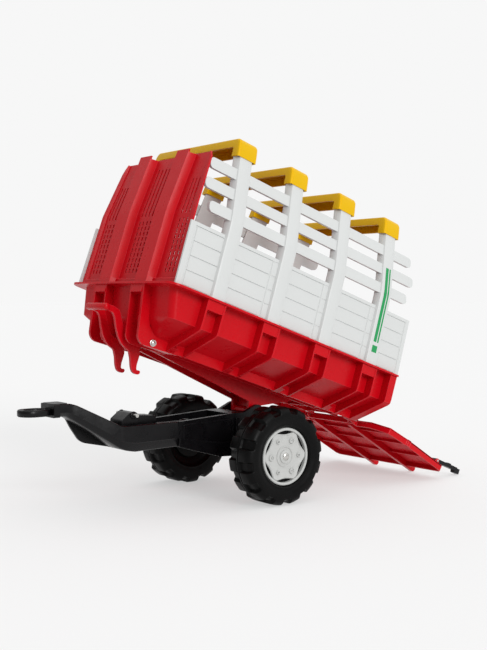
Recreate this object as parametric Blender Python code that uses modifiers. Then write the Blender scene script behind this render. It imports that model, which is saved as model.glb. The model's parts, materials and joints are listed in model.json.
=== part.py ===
"""A child's tipping hay-wagon trailer for a pedal tractor, shown with its tub raised and its tailgate down.

World axes: +X points rearwards, +Y to the trailer's right, +Z up. Left and right are those of someone
who looks the way the trailer is towed, towards -X.
The ground is z = 0 and the origin is the middle of the footprint.
Chassis pieces are laid out from the axle's middle. Tub pieces are laid out from the front of the rim:
u runs rearwards along the rim, v across, w up from the rim's top face. The tailgate's pieces are laid
out from its hinge line: x towards its free edge, y across, z towards the load.
"""

import math

import bmesh
import bpy
from mathutils import Matrix, Vector

# ---- driving dimensions, metres and degrees ----
AXLE_X = -0.0408           # the axle's place ahead of the middle of the footprint
FIT_GAP = 0.0004           # between faces that touch
RUNNING_GAP = 0.0006       # radial, round a turning shaft
SIDE_GAP = 0.0015          # beside a piece that swings

WHEEL_RADIUS = 0.1125
TYRE_WIDTH = 0.085
TRACK_OUTER = 0.2294       # half the width over the wheels
RIM_RADIUS = 0.066
RIM_DISH = 0.009
AXLE_RADIUS = 0.005
HUB_WALL = 0.012
HUB_RADIUS = AXLE_RADIUS + HUB_WALL
AXLE_CAP_BRIM = 0.0055     # how far the cap reaches past the axle
AXLE_CAP_RADIUS = AXLE_RADIUS + AXLE_CAP_BRIM
AXLE_CAP_HEIGHT = 0.006

BEAM_HALF_WIDTH = 0.055
BEAM_WALL = 0.010
SEAM_X = -0.178            # where the drawbar socket meets the rear frame
BEAM_TOP_Z = 0.0765
BEAM_BOTTOM_Z = 0.0185
FRAME_TOP_Z = 0.0855
FRAME_BOTTOM_Z = -0.0145
FRAME_REAR_X = 0.025
CHANNEL_FLOOR_Z = 0.0475
CHANNEL_END_X = -0.030
NOSE_TOP_Z = 0.1325
NOSE_BOTTOM_Z = 0.1045
NOSE_HALF_WIDTH = 0.030
NOSE_FRONT_X = -0.485
NOSE_REAR_X = -0.441
SLOPE_REAR_X = -0.326       # where the slope from the nose meets the beam
BELLY_X = -0.292
BELLY_DROP = 0.003         # the beam's lowest point below its rear end
KEEL_THICKNESS = 0.006
KEEL_Y = 0.024
HOUSING_RADIUS = 0.019
SPACER_LENGTH = 0.0154     # between the axle housing and a wheel, gaps included
HOUSING_HALF_LENGTH = TRACK_OUTER - TYRE_WIDTH - SPACER_LENGTH
GUSSET_THICKNESS = 0.006
EAR_RADIUS = 0.019
PIVOT_ROD_OVERHANG = 0.003

EYE_X = -0.523
EYE_Z = 0.1155
EYE_RADIUS = 0.030
EYE_HOLE_RADIUS = 0.016
EYE_THICKNESS = 0.014
EYE_NECK_HALF_WIDTH = 0.014
EYE_NECK_END_X = -0.452

BLOCK_FRONT_X = -0.334
BLOCK_REAR_X = -0.218
BLOCK_HALF_WIDTH = 0.026
BLOCK_TOP_Z = 0.1065
KEEPER_X = -0.284
KEEPER_Z = 0.0965
KEEPER_RADIUS = 0.004
STRUT_RADIUS = 0.006
STRUT_REAR_X = -0.115
STRUT_LIFT = 0.012         # of its underside above the channel floor

PIVOT_X = 0.050
PIVOT_Z = 0.0825
PIVOT_ROD_RADIUS = 0.005
TIP_ANGLE = 18.96          # how far the tub is raised as shown
PIVOT_W = -0.1825
LUG_CLEARANCE = 0.007      # beside the tub's lugs, inside the chassis beam
LUG_HALF_WIDTH = BEAM_HALF_WIDTH - BEAM_WALL - LUG_CLEARANCE
LUG_HALF_LENGTH = 0.018
LUG_ROOT = 0.034           # half its length where it meets the floor

TUB_LENGTH = 0.697
PIVOT_SETBACK = 0.2675     # ahead of the tub's rear edge
PIVOT_U = TUB_LENGTH - PIVOT_SETBACK
RIM_HALF_WIDTH = 0.224
RIM_FLANGE = 0.028         # from the rim's edge in to the bay walls
RIM_FRONT_U = -0.012
RIM_THICKNESS = 0.0045
RIM_CORNER = 0.028
TUB_WALL = 0.0035
WALL_HALF_WIDTH = RIM_HALF_WIDTH - RIM_FLANGE
SHOULDER_W = -0.069
FLOOR_HALF_WIDTH = 0.106
FLOOR_W = -0.108
FRONT_CURVE = 0.036
FRONT_CORNER = 0.062       # in plan, where the front meets the sides
RIB_SET_IN = 0.005
RIB_HALF_WIDTH = RIM_HALF_WIDTH - RIB_SET_IN
SKIRT_SET_OUT = 0.006
RIB_FOOT_HALF_WIDTH = FLOOR_HALF_WIDTH + SKIRT_SET_OUT
RIB_BOTTOM_W = -0.128
RIB_THICKNESS = 0.004
FRONT_RIB_INNER_V = 0.055
FRONT_RIB_OUTER_V = 0.103
FRONT_RIB_REAR_U = 0.125
SOCKET_DEPTH = 0.028
REAR_BORDER = 0.022        # between the two ribs at the tub's rear edge
FRONT_SOCKET_DEPTH = 0.020
FRONT_RIB_CURVE = 0.046

POST_COUNT = 4
FIRST_POST_U = 0.1173
LAST_POST_MARGIN = 0.0964  # from the last post's middle to the tub's rear edge
POST_PITCH = (TUB_LENGTH - LAST_POST_MARGIN - FIRST_POST_U) / (POST_COUNT - 1)
POST_WIDTH = 0.050
POST_DEPTH = 0.018
POST_HEIGHT = 0.3324
POST_SET_IN = 0.0054       # the posts' face behind the rim's edge
POST_BASE_V = RIM_HALF_WIDTH - POST_SET_IN
POST_KINK_LEAN = 0.0061
POST_KINK_V = POST_BASE_V - POST_KINK_LEAN
POST_KINK_W = 0.180
POST_TOP_LEAN = 0.0419
POST_TOP_V = POST_BASE_V - POST_TOP_LEAN
BOARD_TOP_W = 0.144
BOARD_SET_IN = 0.007       # the boards' outer face behind the posts'
BOARD_THICKNESS = 0.005
BOARD_FRONT_U = 0.003
BOARD_OVERHANG = 0.008
BOARD_REAR_U = TUB_LENGTH + BOARD_OVERHANG
SLAT_HEIGHT = 0.026
SLAT_THICKNESS = 0.009
# each slat's middle below the posts' top, its front end, and its rear end ahead of the tub's rear edge
SLATS = ((0.0434, 0.024, 0.013), (0.0924, 0.015, 0.001), (0.1424, 0.037, 0.020))
SLAT_SET_IN = 0.004
TONGUE_SHOULDER = 0.010    # beside a tongue, on each side of the post
TONGUE_WIDTH = POST_WIDTH - 2 * TONGUE_SHOULDER
TONGUE_THICKNESS = 0.006
TONGUE_LENGTH = 0.022

HOOP_RISE = 0.044          # of the hoop's top over the posts
HOOP_TOP_W = POST_HEIGHT + HOOP_RISE
HOOP_BAR = 0.021
HOOP_WALL = 0.0025
HOOP_OUTSET = 0.0035       # the hoop's leg stands proud of the post
HOOP_CORNER = 0.016
HOOP_LEAN = 0.006          # how far the leg leans in from its foot to the corner
HOOP_SEAT_GAP = 0.0002     # over the post's shoulder
HOOP_TONGUE_HEIGHT = 0.014

FRONT_WALL_THICKNESS = 0.004
FRONT_WALL_U = 0.012
FRONT_KINK_W = 0.176
FRONT_TOP_U = 0.036
FRONT_TOP_DROP = 0.0234    # below the posts' top
FRONT_TOP_W = POST_HEIGHT - FRONT_TOP_DROP
PILASTER_RISE = 0.014
FRONT_PILASTER_TOP_W = FRONT_TOP_W + PILASTER_RISE
FRONT_CHAMFER = 0.012      # at the front wall's top corners
PILASTER_V = 0.079
PILASTER_HALF_WIDTH = 0.027
PILASTER_DEPTH = 0.012
SLOT_WIDTH = 0.0045
SLOT_PITCH = 0.0115
SLOT_ROWS = ((0.032, 0.158), (0.190, 0.272))
SLOT_COLUMN_SET_IN = 0.062 # from the rim's edge to the middle of the outer slots
SLOT_COLUMN_V = RIM_HALF_WIDTH - SLOT_COLUMN_SET_IN
SLOT_COLUMNS = (-SLOT_COLUMN_V, 0.0, SLOT_COLUMN_V)
SLOTS_IN_PANEL = (3, 4, 3)

LEVER_U = 0.054
LEVER_W = -0.121
LEVER_ROD_RADIUS = 0.004
LEVER_TUBE_RADIUS = 0.0075
LEVER_ARM_THICKNESS = 0.008
LEVER_CLEARANCE = 0.0035   # beside the latch block
LEVER_ARM_V = BLOCK_HALF_WIDTH + LEVER_CLEARANCE + LEVER_ARM_THICKNESS / 2
HANDLE_HALF_WIDTH = 0.045
ROD_HEAD_RADIUS = 0.0065
ROD_HEAD_HEIGHT = 0.0045

HINGE_SETBACK = 0.0095     # behind the tub's rear edge
HINGE_U = TUB_LENGTH + HINGE_SETBACK
HINGE_DROP = 0.0167        # below the tub's floor
HINGE_W = FLOOR_W - HINGE_DROP
KNUCKLE_SET_IN = 0.008
KNUCKLE_V = FLOOR_HALF_WIDTH - KNUCKLE_SET_IN
KNUCKLE_WIDTH = 0.008
GATE_KNUCKLE_WIDTH = 0.014
GATE_KNUCKLE_V = KNUCKLE_V - (KNUCKLE_WIDTH + GATE_KNUCKLE_WIDTH) / 2 - 0.005
KNUCKLE_NOTCH = 0.0175     # how far the tailgate is cut away round a tub knuckle
GATE_PIN_RADIUS = 0.003
GATE_KNUCKLE_RADIUS = 0.0065
GATE_LENGTH = 0.2575
GATE_SKIN = 0.004
GATE_INNER_Z = 0.0085      # the skin's inner face from the hinge line
GATE_BORDER = 0.004
GATE_BORDER_DEPTH = 0.016
GATE_RIB_V = 0.070
GATE_RIB_WIDTH = 0.012
GATE_RIB_END_X = 0.2905
GATE_RIB_DROP = 0.003      # below the border
GATE_RIB_NOSE = 0.0085     # radius of its free end
GATE_NOSE_X = GATE_RIB_END_X - GATE_RIB_NOSE
GATE_GROUND_GAP = 0.0009
GATE_CROSS_X = (0.052, 0.108)
GATE_OVERLAP = 0.004       # beyond the bay walls
GATE_HALF_WIDTH = WALL_HALF_WIDTH + GATE_OVERLAP
GATE_HINGE_HALF_WIDTH = FLOOR_HALF_WIDTH + 0.002

GATE_LATCH_SET_IN = 0.022
GATE_LATCH_V = -(GATE_HALF_WIDTH - GATE_LATCH_SET_IN)
GATE_LATCH_X = 0.238
GATE_LATCH_Z = 0.0155
GATE_LATCH_WIDTH = 0.014
GATE_LATCH_LENGTH = 0.098
GATE_LATCH_TILT = -9.5

RED = (0.62, 0.012, 0.025)
WHITE = (0.68, 0.70, 0.70)
YELLOW = (0.78, 0.46, 0.01)
BLACK = (0.012, 0.012, 0.012)
GREY = (0.55, 0.57, 0.56)
STEEL = (0.55, 0.55, 0.56)

SIDES = (("left", -1), ("right", 1))
ROUND_STEPS = 32
WHEEL_STEPS = 40


# ---- helpers ----
def clear_scene():
    for item in list(bpy.data.objects):
        bpy.data.objects.remove(item, do_unlink=True)


def new_collection(name, hidden=False):
    collection = bpy.data.collections.new(name)
    bpy.context.scene.collection.children.link(collection)
    collection.hide_render = hidden
    return collection


clear_scene()
TRAILER = new_collection("hay_trailer")
CUTTERS = new_collection("cutters", hidden=True)


def plastic(name, colour, roughness=0.35, metallic=0.0):
    material = bpy.data.materials.new(name)
    material.use_nodes = True
    shader = material.node_tree.nodes["Principled BSDF"]
    shader.inputs["Base Color"].default_value = (*colour, 1.0)
    shader.inputs["Roughness"].default_value = roughness
    shader.inputs["Metallic"].default_value = metallic
    material.diffuse_color = (*colour, 1.0)
    return material


def empty(name, parent=None, location=(0, 0, 0), turn_y=0.0):
    item = bpy.data.objects.new(name, None)
    item.empty_display_size = 0.03
    item.location = location
    item.rotation_euler = (0, math.radians(turn_y), 0)
    item.parent = parent
    TRAILER.objects.link(item)
    return item


def as_object(name, mesh, parent, helper=False):
    item = bpy.data.objects.new(name, mesh)
    item.parent = parent
    (CUTTERS if helper else TRAILER).objects.link(item)
    if helper:
        item.hide_render = True
        item.display_type = "WIRE"
    return item


def finish(item, colour, roughness=0.35, metallic=0.0, smooth=30.0):
    item.data.materials.append(plastic(item.name, colour, roughness, metallic))
    item.data.shade_smooth()
    item.data.set_sharp_from_angle(angle=math.radians(smooth))
    return item


PLANES = {
    "side": Matrix.Rotation(math.radians(90), 4, "X"),
    "cross": Matrix(((0, 0, 1, 0), (1, 0, 0, 0), (0, 1, 0, 0), (0, 0, 0, 1))),
    "flat": Matrix.Identity(4),
}


def plate(name, points, plane, thickness, middle=0.0, parent=None, helper=True):
    """A flat outline with a thickness. side: points (x, z); cross: (y, z); flat: (x, y)."""
    curve = bpy.data.curves.new(name, "CURVE")
    curve.dimensions = "2D"
    curve.fill_mode = "BOTH"
    curve.extrude = thickness / 2
    spline = curve.splines.new("POLY")
    spline.points.add(len(points) - 1)
    for point, (a, b) in zip(spline.points, points):
        point.co = (a, b, 0, 1)
    spline.use_cyclic_u = True
    source = bpy.data.objects.new(name + "_outline", curve)
    CUTTERS.objects.link(source)
    bpy.context.view_layer.update()
    graph = bpy.context.evaluated_depsgraph_get()
    mesh = bpy.data.meshes.new_from_object(source.evaluated_get(graph))
    bpy.data.objects.remove(source, do_unlink=True)
    bpy.data.curves.remove(curve)
    mesh.name = name
    offset = {"side": (0, middle, 0), "cross": (middle, 0, 0), "flat": (0, 0, middle)}[plane]
    work = bmesh.new()
    work.from_mesh(mesh)
    bmesh.ops.remove_doubles(work, verts=work.verts, dist=1e-6)
    bmesh.ops.transform(work, matrix=Matrix.Translation(offset) @ PLANES[plane], verts=work.verts)
    bmesh.ops.recalc_face_normals(work, faces=work.faces)
    work.to_mesh(mesh)
    work.free()
    return as_object(name, mesh, parent, helper)


def block(name, low, high, parent=None, helper=True):
    work = bmesh.new()
    bmesh.ops.create_cube(work, size=1.0)
    size = Vector(high) - Vector(low)
    middle = (Vector(high) + Vector(low)) / 2
    bmesh.ops.scale(work, vec=size, verts=work.verts)
    bmesh.ops.translate(work, vec=middle, verts=work.verts)
    mesh = bpy.data.meshes.new(name)
    work.to_mesh(mesh)
    work.free()
    return as_object(name, mesh, parent, helper)


def rod(name, radius, start, end, parent=None, helper=True, steps=ROUND_STEPS):
    """A cylinder between two points."""
    start, end = Vector(start), Vector(end)
    work = bmesh.new()
    bmesh.ops.create_cone(work, cap_ends=True, segments=steps, radius1=radius, radius2=radius,
                          depth=(end - start).length)
    turn = (end - start).to_track_quat("Z", "Y").to_matrix().to_4x4()
    bmesh.ops.transform(work, matrix=Matrix.Translation((start + end) / 2) @ turn, verts=work.verts)
    mesh = bpy.data.meshes.new(name)
    work.to_mesh(mesh)
    work.free()
    return as_object(name, mesh, parent, helper)


def turned(name, profile, parent, y, flip=False, steps=WHEEL_STEPS):
    """A closed profile of (radius, y) points turned about the Y axis at height 0 of its parent."""
    mesh = bpy.data.meshes.new(name)
    side = -1 if flip else 1
    points = [(radius, 0, along) for radius, along in profile]
    count = len(points)
    mesh.from_pydata(points, [(i, (i + 1) % count) for i in range(count)], [])
    item = as_object(name, mesh, parent)
    item.location = (0, y, 0)
    item.rotation_euler = (math.radians(-90 * side), 0, 0)
    screw = item.modifiers.new("turn", "SCREW")
    screw.axis = "Z"
    screw.steps = steps
    screw.render_steps = steps
    screw.use_merge_vertices = True
    screw.merge_threshold = 0.00005
    screw.use_smooth_shade = True
    return item


def adopt(item, parent):
    """Gives a helper, and the helpers that shape it, the frame of the piece it works on."""
    item.parent = parent
    for modifier in item.modifiers:
        if modifier.type == "BOOLEAN":
            adopt(modifier.object, parent)


def combine(item, other, operation):
    modifier = item.modifiers.new(other.name, "BOOLEAN")
    modifier.operation = operation
    modifier.solver = "EXACT"
    modifier.object = other
    adopt(other, item.parent)
    return item


def join(item, *others):
    for other in others:
        combine(item, other, "UNION")
    return item


def cut(item, *others):
    for other in others:
        combine(item, other, "DIFFERENCE")
    return item


def bevel(item, width, segments=1, angle=40.0):
    modifier = item.modifiers.new("edge", "BEVEL")
    modifier.width = width
    modifier.segments = segments
    modifier.limit_method = "ANGLE"
    modifier.angle_limit = math.radians(angle)
    return item


def arc(centre, radius, start, end, steps):
    """Points on an arc, degrees from the first axis towards the second."""
    turns = [math.radians(start + (end - start) * i / steps) for i in range(steps + 1)]
    return [(centre[0] + radius * math.cos(t), centre[1] + radius * math.sin(t)) for t in turns]


def mirrored(points):
    """A closed outline from its right half, listed from bottom to top."""
    return points + [(-a, b) for a, b in reversed(points)]


def bent(points, distance):
    """The same line moved sideways by a distance, to its left, for a strip of even thickness."""
    out = []
    for i, (a, b) in enumerate(points):
        before = Vector(points[max(i - 1, 0)])
        after = Vector(points[min(i + 1, len(points) - 1)])
        along = (after - before).normalized()
        out.append((a - along.y * distance, b + along.x * distance))
    return out


def strip(points, thickness):
    return points + list(reversed(bent(points, thickness)))


def upright_strip(points, thickness):
    """A strip whose ends stay level, for pieces that stand on the rim."""
    return points + [(a - thickness, b) for a, b in reversed(points)]


def gate_drop():
    """The tailgate's angle below the rim's line at which its ribs' ends just clear the ground."""
    tilt = math.radians(TIP_ANGLE)
    height = WHEEL_RADIUS + PIVOT_Z + (HINGE_W - PIVOT_W) * math.cos(tilt)
    height -= (HINGE_U - PIVOT_U) * math.sin(tilt)
    nose = Vector((GATE_NOSE_X, GATE_BORDER_DEPTH + GATE_RIB_DROP - GATE_INNER_Z - GATE_RIB_NOSE))
    reach = (height - GATE_RIB_NOSE - GATE_GROUND_GAP) / nose.length
    return math.degrees(math.asin(min(reach, 1.0)) - math.atan2(nose.y, nose.x)) - TIP_ANGLE


# ---- frames: each moving body hangs from an empty on its joint's axis ----
chassis = empty("chassis_origin", None, (AXLE_X, 0, WHEEL_RADIUS))
tip_axis = empty("tip_axis", chassis, (PIVOT_X, 0, PIVOT_Z), TIP_ANGLE)
tub_origin = empty("tub_origin", tip_axis, (-PIVOT_U, 0, -PIVOT_W))
gate_axis = empty("tailgate_axis", tub_origin, (HINGE_U, 0, HINGE_W), gate_drop())
lever_axis = empty("front_latch_axis", tub_origin, (LEVER_U, 0, LEVER_W))
latch_axis = empty("tailgate_latch_axis", gate_axis, (GATE_LATCH_X, GATE_LATCH_V, GATE_LATCH_Z),
                   GATE_LATCH_TILT)
post_places = [FIRST_POST_U + i * POST_PITCH for i in range(POST_COUNT)]


# ---- chassis ----
def make_drawbar():
    beam = [
        (SEAM_X, BEAM_TOP_Z), (SEAM_X, BEAM_BOTTOM_Z), (BELLY_X, BEAM_BOTTOM_Z - BELLY_DROP),
        (BELLY_X - 0.026, BEAM_BOTTOM_Z + BELLY_DROP), (NOSE_REAR_X - 0.008, NOSE_BOTTOM_Z),
        (NOSE_FRONT_X, NOSE_BOTTOM_Z), (NOSE_FRONT_X, NOSE_TOP_Z - 0.004), (NOSE_FRONT_X + 0.006, NOSE_TOP_Z),
        (NOSE_REAR_X, NOSE_TOP_Z), (NOSE_REAR_X + 0.011, NOSE_TOP_Z - 0.004), (SLOPE_REAR_X, BEAM_TOP_Z),
    ]
    drawbar = plate("drawbar", beam, "side", 2 * BEAM_HALF_WIDTH, 0.0, chassis, helper=False)
    ahead = NOSE_FRONT_X - 0.02
    taper = [(ahead, NOSE_HALF_WIDTH), (NOSE_REAR_X + 0.001, NOSE_HALF_WIDTH),
             (SLOPE_REAR_X - 0.004, BEAM_HALF_WIDTH + 0.001), (SLOPE_REAR_X - 0.004, 2 * BEAM_HALF_WIDTH),
             (ahead, 2 * BEAM_HALF_WIDTH)]
    for side in (1, -1):
        points = [(a, side * b) for a, b in taper]
        cut(drawbar, plate("nose_side_%d" % side, points, "flat", 0.4, 0.1))
    keel = [(NOSE_REAR_X + 0.001, NOSE_BOTTOM_Z + 0.01), (-0.418, 0.0735), (-0.398, 0.0435), (-0.385, 0.0365),
            (BELLY_X + 0.002, BEAM_BOTTOM_Z - 0.0025), (BELLY_X + 0.002, BEAM_BOTTOM_Z + 0.019)]
    join(drawbar, plate("keel", keel, "side", KEEL_THICKNESS, KEEL_Y))
    inner = BEAM_HALF_WIDTH - BEAM_WALL
    cut(drawbar, block("drawbar_channel", (SLOPE_REAR_X - 0.004, -inner, CHANNEL_FLOOR_Z),
                       (SEAM_X + 0.02, inner, 0.3)))
    neck = EYE_NECK_HALF_WIDTH + FIT_GAP
    cut(drawbar, block("eye_pocket", (NOSE_FRONT_X - 0.01, -neck, EYE_Z - EYE_THICKNESS / 2 - FIT_GAP),
                       (EYE_NECK_END_X + FIT_GAP, neck, EYE_Z + EYE_THICKNESS / 2 + FIT_GAP)))
    return finish(drawbar, BLACK, 0.4)


def make_hitch_eye():
    ring = rod("hitch_eye", EYE_RADIUS, (EYE_X, 0, EYE_Z - EYE_THICKNESS / 2),
               (EYE_X, 0, EYE_Z + EYE_THICKNESS / 2), chassis, helper=False, steps=WHEEL_STEPS)
    shift = EYE_X + EYE_RADIUS - 0.008
    join(ring, block("eye_neck", (shift, -EYE_NECK_HALF_WIDTH, EYE_Z - EYE_THICKNESS / 2 + 0.0002),
                     (EYE_NECK_END_X, EYE_NECK_HALF_WIDTH, EYE_Z + EYE_THICKNESS / 2 - 0.0002)))
    cut(ring, rod("eye_hole", EYE_HOLE_RADIUS, (EYE_X, 0, EYE_Z - 0.02), (EYE_X, 0, EYE_Z + 0.02)))
    bevel(ring, 0.0018)
    return finish(ring, BLACK, 0.4)


def make_rear_frame():
    front = SEAM_X + FIT_GAP
    outline = [(front, BEAM_TOP_Z), (front, BEAM_BOTTOM_Z), (-0.062, FRAME_BOTTOM_Z),
               (0.018, FRAME_BOTTOM_Z - 0.004),
               (FRAME_REAR_X, FRAME_BOTTOM_Z + 0.006), (FRAME_REAR_X, FRAME_TOP_Z), (-0.020, FRAME_TOP_Z)]
    frame = plate("rear_frame", outline, "side", 2 * BEAM_HALF_WIDTH, 0.0, chassis, helper=False)
    inner = BEAM_HALF_WIDTH - BEAM_WALL
    cut(frame, block("frame_channel", (front - 0.01, -inner, CHANNEL_FLOOR_Z), (CHANNEL_END_X, inner, 0.3)))
    ear = [(-0.010, FRAME_TOP_Z - 0.02), (0.030, CHANNEL_FLOOR_Z - 0.01)]
    ear += arc((PIVOT_X, PIVOT_Z), EAR_RADIUS, -60, 120, 8)
    ear += [(0.010, FRAME_TOP_Z)]
    ear_middle = BEAM_HALF_WIDTH - BEAM_WALL / 2
    housing = rod("axle_housing", HOUSING_RADIUS, (0, -HOUSING_HALF_LENGTH, 0), (0, HOUSING_HALF_LENGTH, 0),
                  steps=24)
    gusset_start = BEAM_HALF_WIDTH - 0.003
    gusset_end = HOUSING_HALF_LENGTH - 0.012
    join(frame, housing)
    for side in (1, -1):
        join(frame, plate("pivot_ear_%d" % side, ear, "side", BEAM_WALL - 0.0002, side * (ear_middle - 0.0002)))
        gusset = [(gusset_start, FRAME_TOP_Z - 0.045), (gusset_start, 0.0), (gusset_end, 0.0),
                  (gusset_end, HOUSING_RADIUS - 0.003)]
        join(frame, plate("gusset_%d" % side, across(side, gusset), "cross", GUSSET_THICKNESS, 0.0))
    cut(frame, rod("axle_bore", AXLE_RADIUS + FIT_GAP, (0, -0.2, 0), (0, 0.2, 0), steps=24))
    cut(frame, rod("pivot_bore", PIVOT_ROD_RADIUS + FIT_GAP, (PIVOT_X, -0.2, PIVOT_Z), (PIVOT_X, 0.2, PIVOT_Z),
                   steps=24))
    return finish(frame, BLACK, 0.4)


def make_keeper():
    floor = CHANNEL_FLOOR_Z + FIT_GAP
    outline = [(BLOCK_FRONT_X + 0.010, floor), (BLOCK_REAR_X, floor), (BLOCK_REAR_X, BLOCK_TOP_Z - 0.009),
               (BLOCK_REAR_X - 0.028, BLOCK_TOP_Z), (BLOCK_FRONT_X + 0.029, BLOCK_TOP_Z),
               (BLOCK_FRONT_X + 0.006, BLOCK_TOP_Z - 0.018)]
    keeper = plate("latch_keeper", outline, "side", 2 * BLOCK_HALF_WIDTH, 0.0, chassis, helper=False)
    cut(keeper, rod("keeper_bore", KEEPER_RADIUS + FIT_GAP, (KEEPER_X, -0.1, KEEPER_Z), (KEEPER_X, 0.1, KEEPER_Z),
                    steps=20))
    finish(keeper, BLACK, 0.4)
    length = BEAM_HALF_WIDTH - BEAM_WALL - SIDE_GAP
    pin = rod("keeper_pin", KEEPER_RADIUS, (KEEPER_X, -length, KEEPER_Z), (KEEPER_X, length, KEEPER_Z), chassis,
              helper=False, steps=20)
    finish(pin, STEEL, 0.3, 1.0)
    strut_z = CHANNEL_FLOOR_Z + FIT_GAP + STRUT_RADIUS + STRUT_LIFT
    strut = rod("release_strut", STRUT_RADIUS, (BLOCK_REAR_X + FIT_GAP, 0, strut_z), (STRUT_REAR_X, 0, strut_z),
                chassis, helper=False, steps=16)
    foot = block("strut_foot", (STRUT_REAR_X - 0.014, -0.008, CHANNEL_FLOOR_Z + FIT_GAP),
                 (STRUT_REAR_X - 0.004, 0.008, strut_z + 0.008))
    join(strut, foot)
    finish(strut, BLACK, 0.4)


def make_axle():
    reach = TRACK_OUTER - RIM_DISH + AXLE_CAP_HEIGHT * 0.5
    axle = rod("axle", AXLE_RADIUS, (0, -reach, 0), (0, reach, 0), chassis, helper=False, steps=24)
    finish(axle, STEEL, 0.3, 1.0)
    reach = BEAM_HALF_WIDTH + PIVOT_ROD_OVERHANG
    pivot = rod("pivot_rod", PIVOT_ROD_RADIUS, (PIVOT_X, -reach, PIVOT_Z), (PIVOT_X, reach, PIVOT_Z), chassis,
                helper=False, steps=24)
    finish(pivot, STEEL, 0.3, 1.0)
    for name, side in SIDES:
        cap_inner = TRACK_OUTER - RIM_DISH + FIT_GAP
        bore = AXLE_RADIUS + FIT_GAP
        end = AXLE_CAP_HEIGHT * 0.5 + 2 * FIT_GAP
        profile = [(bore, 0.0), (bore, end), (0.0001, end), (0.0001, AXLE_CAP_HEIGHT),
                   (AXLE_CAP_RADIUS * 0.45, AXLE_CAP_HEIGHT * 0.92), (AXLE_CAP_RADIUS * 0.8, AXLE_CAP_HEIGHT * 0.6),
                   (AXLE_CAP_RADIUS, 0.0)]
        cap = cap_of(name + "_axle_cap", profile, side, cap_inner)
        finish(cap, STEEL, 0.3, 1.0)
        inner = HOUSING_HALF_LENGTH + FIT_GAP
        outer = TRACK_OUTER - TYRE_WIDTH - FIT_GAP
        profile = [(bore, 0.0), (bore, outer - inner), (bore + 0.005, outer - inner), (bore + 0.005, 0.0)]
        spacer = cap_of(name + "_axle_spacer", profile, side, inner)
        finish(spacer, BLACK, 0.45)


def cap_of(name, profile, side, inner):
    return turned(name, profile, chassis, side * inner, flip=side < 0, steps=24)


def make_wheel(name, side):
    spin = empty(name + "_wheel_axis", chassis)
    middle = side * (TRACK_OUTER - TYRE_WIDTH / 2)
    half = TYRE_WIDTH / 2
    seat = RIM_RADIUS + FIT_GAP
    bulge = (seat + WHEEL_RADIUS) / 2
    tyre = [(seat, -half + 0.008), (seat, half - 0.012), (seat + 0.006, half - 0.003), (bulge, half),
            (WHEEL_RADIUS - 0.009, half - 0.003), (WHEEL_RADIUS, half - 0.013), (WHEEL_RADIUS, -half + 0.013),
            (WHEEL_RADIUS - 0.009, -half + 0.003), (bulge, -half), (seat + 0.006, -half + 0.003)]
    tyre_item = turned(name + "_tyre", tyre, spin, middle, flip=side < 0)
    finish(tyre_item, BLACK, 0.5)
    face = half - RIM_DISH
    bore = AXLE_RADIUS + RUNNING_GAP
    rim = [(bore, -half), (bore, face), (HUB_RADIUS, face), (HUB_RADIUS + 0.004, face - 0.004),
           (RIM_RADIUS - 0.016, face - 0.004), (RIM_RADIUS - 0.011, face + 0.002), (RIM_RADIUS - 0.004, face + 0.003),
           (RIM_RADIUS, face - 0.003), (RIM_RADIUS, -half + 0.010), (RIM_RADIUS - 0.004, -half + 0.008),
           (RIM_RADIUS - 0.006, face - 0.012), (HUB_RADIUS, face - 0.010), (HUB_RADIUS - 0.003, -half)]
    rim_item = turned(name + "_rim", rim, spin, middle, flip=side < 0)
    finish(rim_item, GREY, 0.35)


# ---- tub ----
def tub_section(grow):
    """Right half of the bay section, bottom to top, moved inwards by grow."""
    slope = Vector((WALL_HALF_WIDTH - FLOOR_HALF_WIDTH, SHOULDER_W - FLOOR_W)).normalized()
    return [
        (FLOOR_HALF_WIDTH - grow * (1 - slope.y) / slope.x if grow else FLOOR_HALF_WIDTH, FLOOR_W + grow),
        (WALL_HALF_WIDTH - grow, SHOULDER_W + grow * 0.75),
        (WALL_HALF_WIDTH - grow, 0.0 if not grow else 0.05),
    ]


def tub_side(grow):
    """Side view of the bay walls: front wall, curve, floor and open rear."""
    radius = FRONT_CURVE - grow
    centre = (FRONT_WALL_U - 0.004 + FRONT_CURVE, FLOOR_W + FRONT_CURVE)
    top = 0.0 if not grow else 0.05
    rear = TUB_LENGTH if not grow else TUB_LENGTH + 0.05
    curve = arc(centre, radius, 180, 270, 6)
    return [(centre[0] - radius, top)] + curve + [(rear, FLOOR_W + grow), (rear, top)]


def tub_plan(grow):
    """Plan view of the bay walls, with the two front corners rounded."""
    front = FRONT_WALL_U - 0.004
    centre = (front + FRONT_CORNER, WALL_HALF_WIDTH - FRONT_CORNER)
    left = arc(centre, FRONT_CORNER - grow, 90, 180, 6)
    right = [(a, -b) for a, b in reversed(left)]
    rear = TUB_LENGTH + 0.1
    return [(rear, -WALL_HALF_WIDTH - 0.001 + grow), (rear, WALL_HALF_WIDTH + 0.001 - grow)] + left + right


def bin_shape(name, grow, parent=None, helper=True):
    """The tub's bay walls as a solid block, or the space inside them."""
    shape = plate(name, tub_side(grow), "side", 2 * WALL_HALF_WIDTH + 0.02, 0.0, parent, helper)
    combine(shape, plate(name + "_cross", mirrored(tub_section(grow)), "cross", 2.0, TUB_LENGTH / 2), "INTERSECT")
    combine(shape, plate(name + "_plan", tub_plan(grow), "flat", 0.5, 0.0), "INTERSECT")
    return shape


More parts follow.
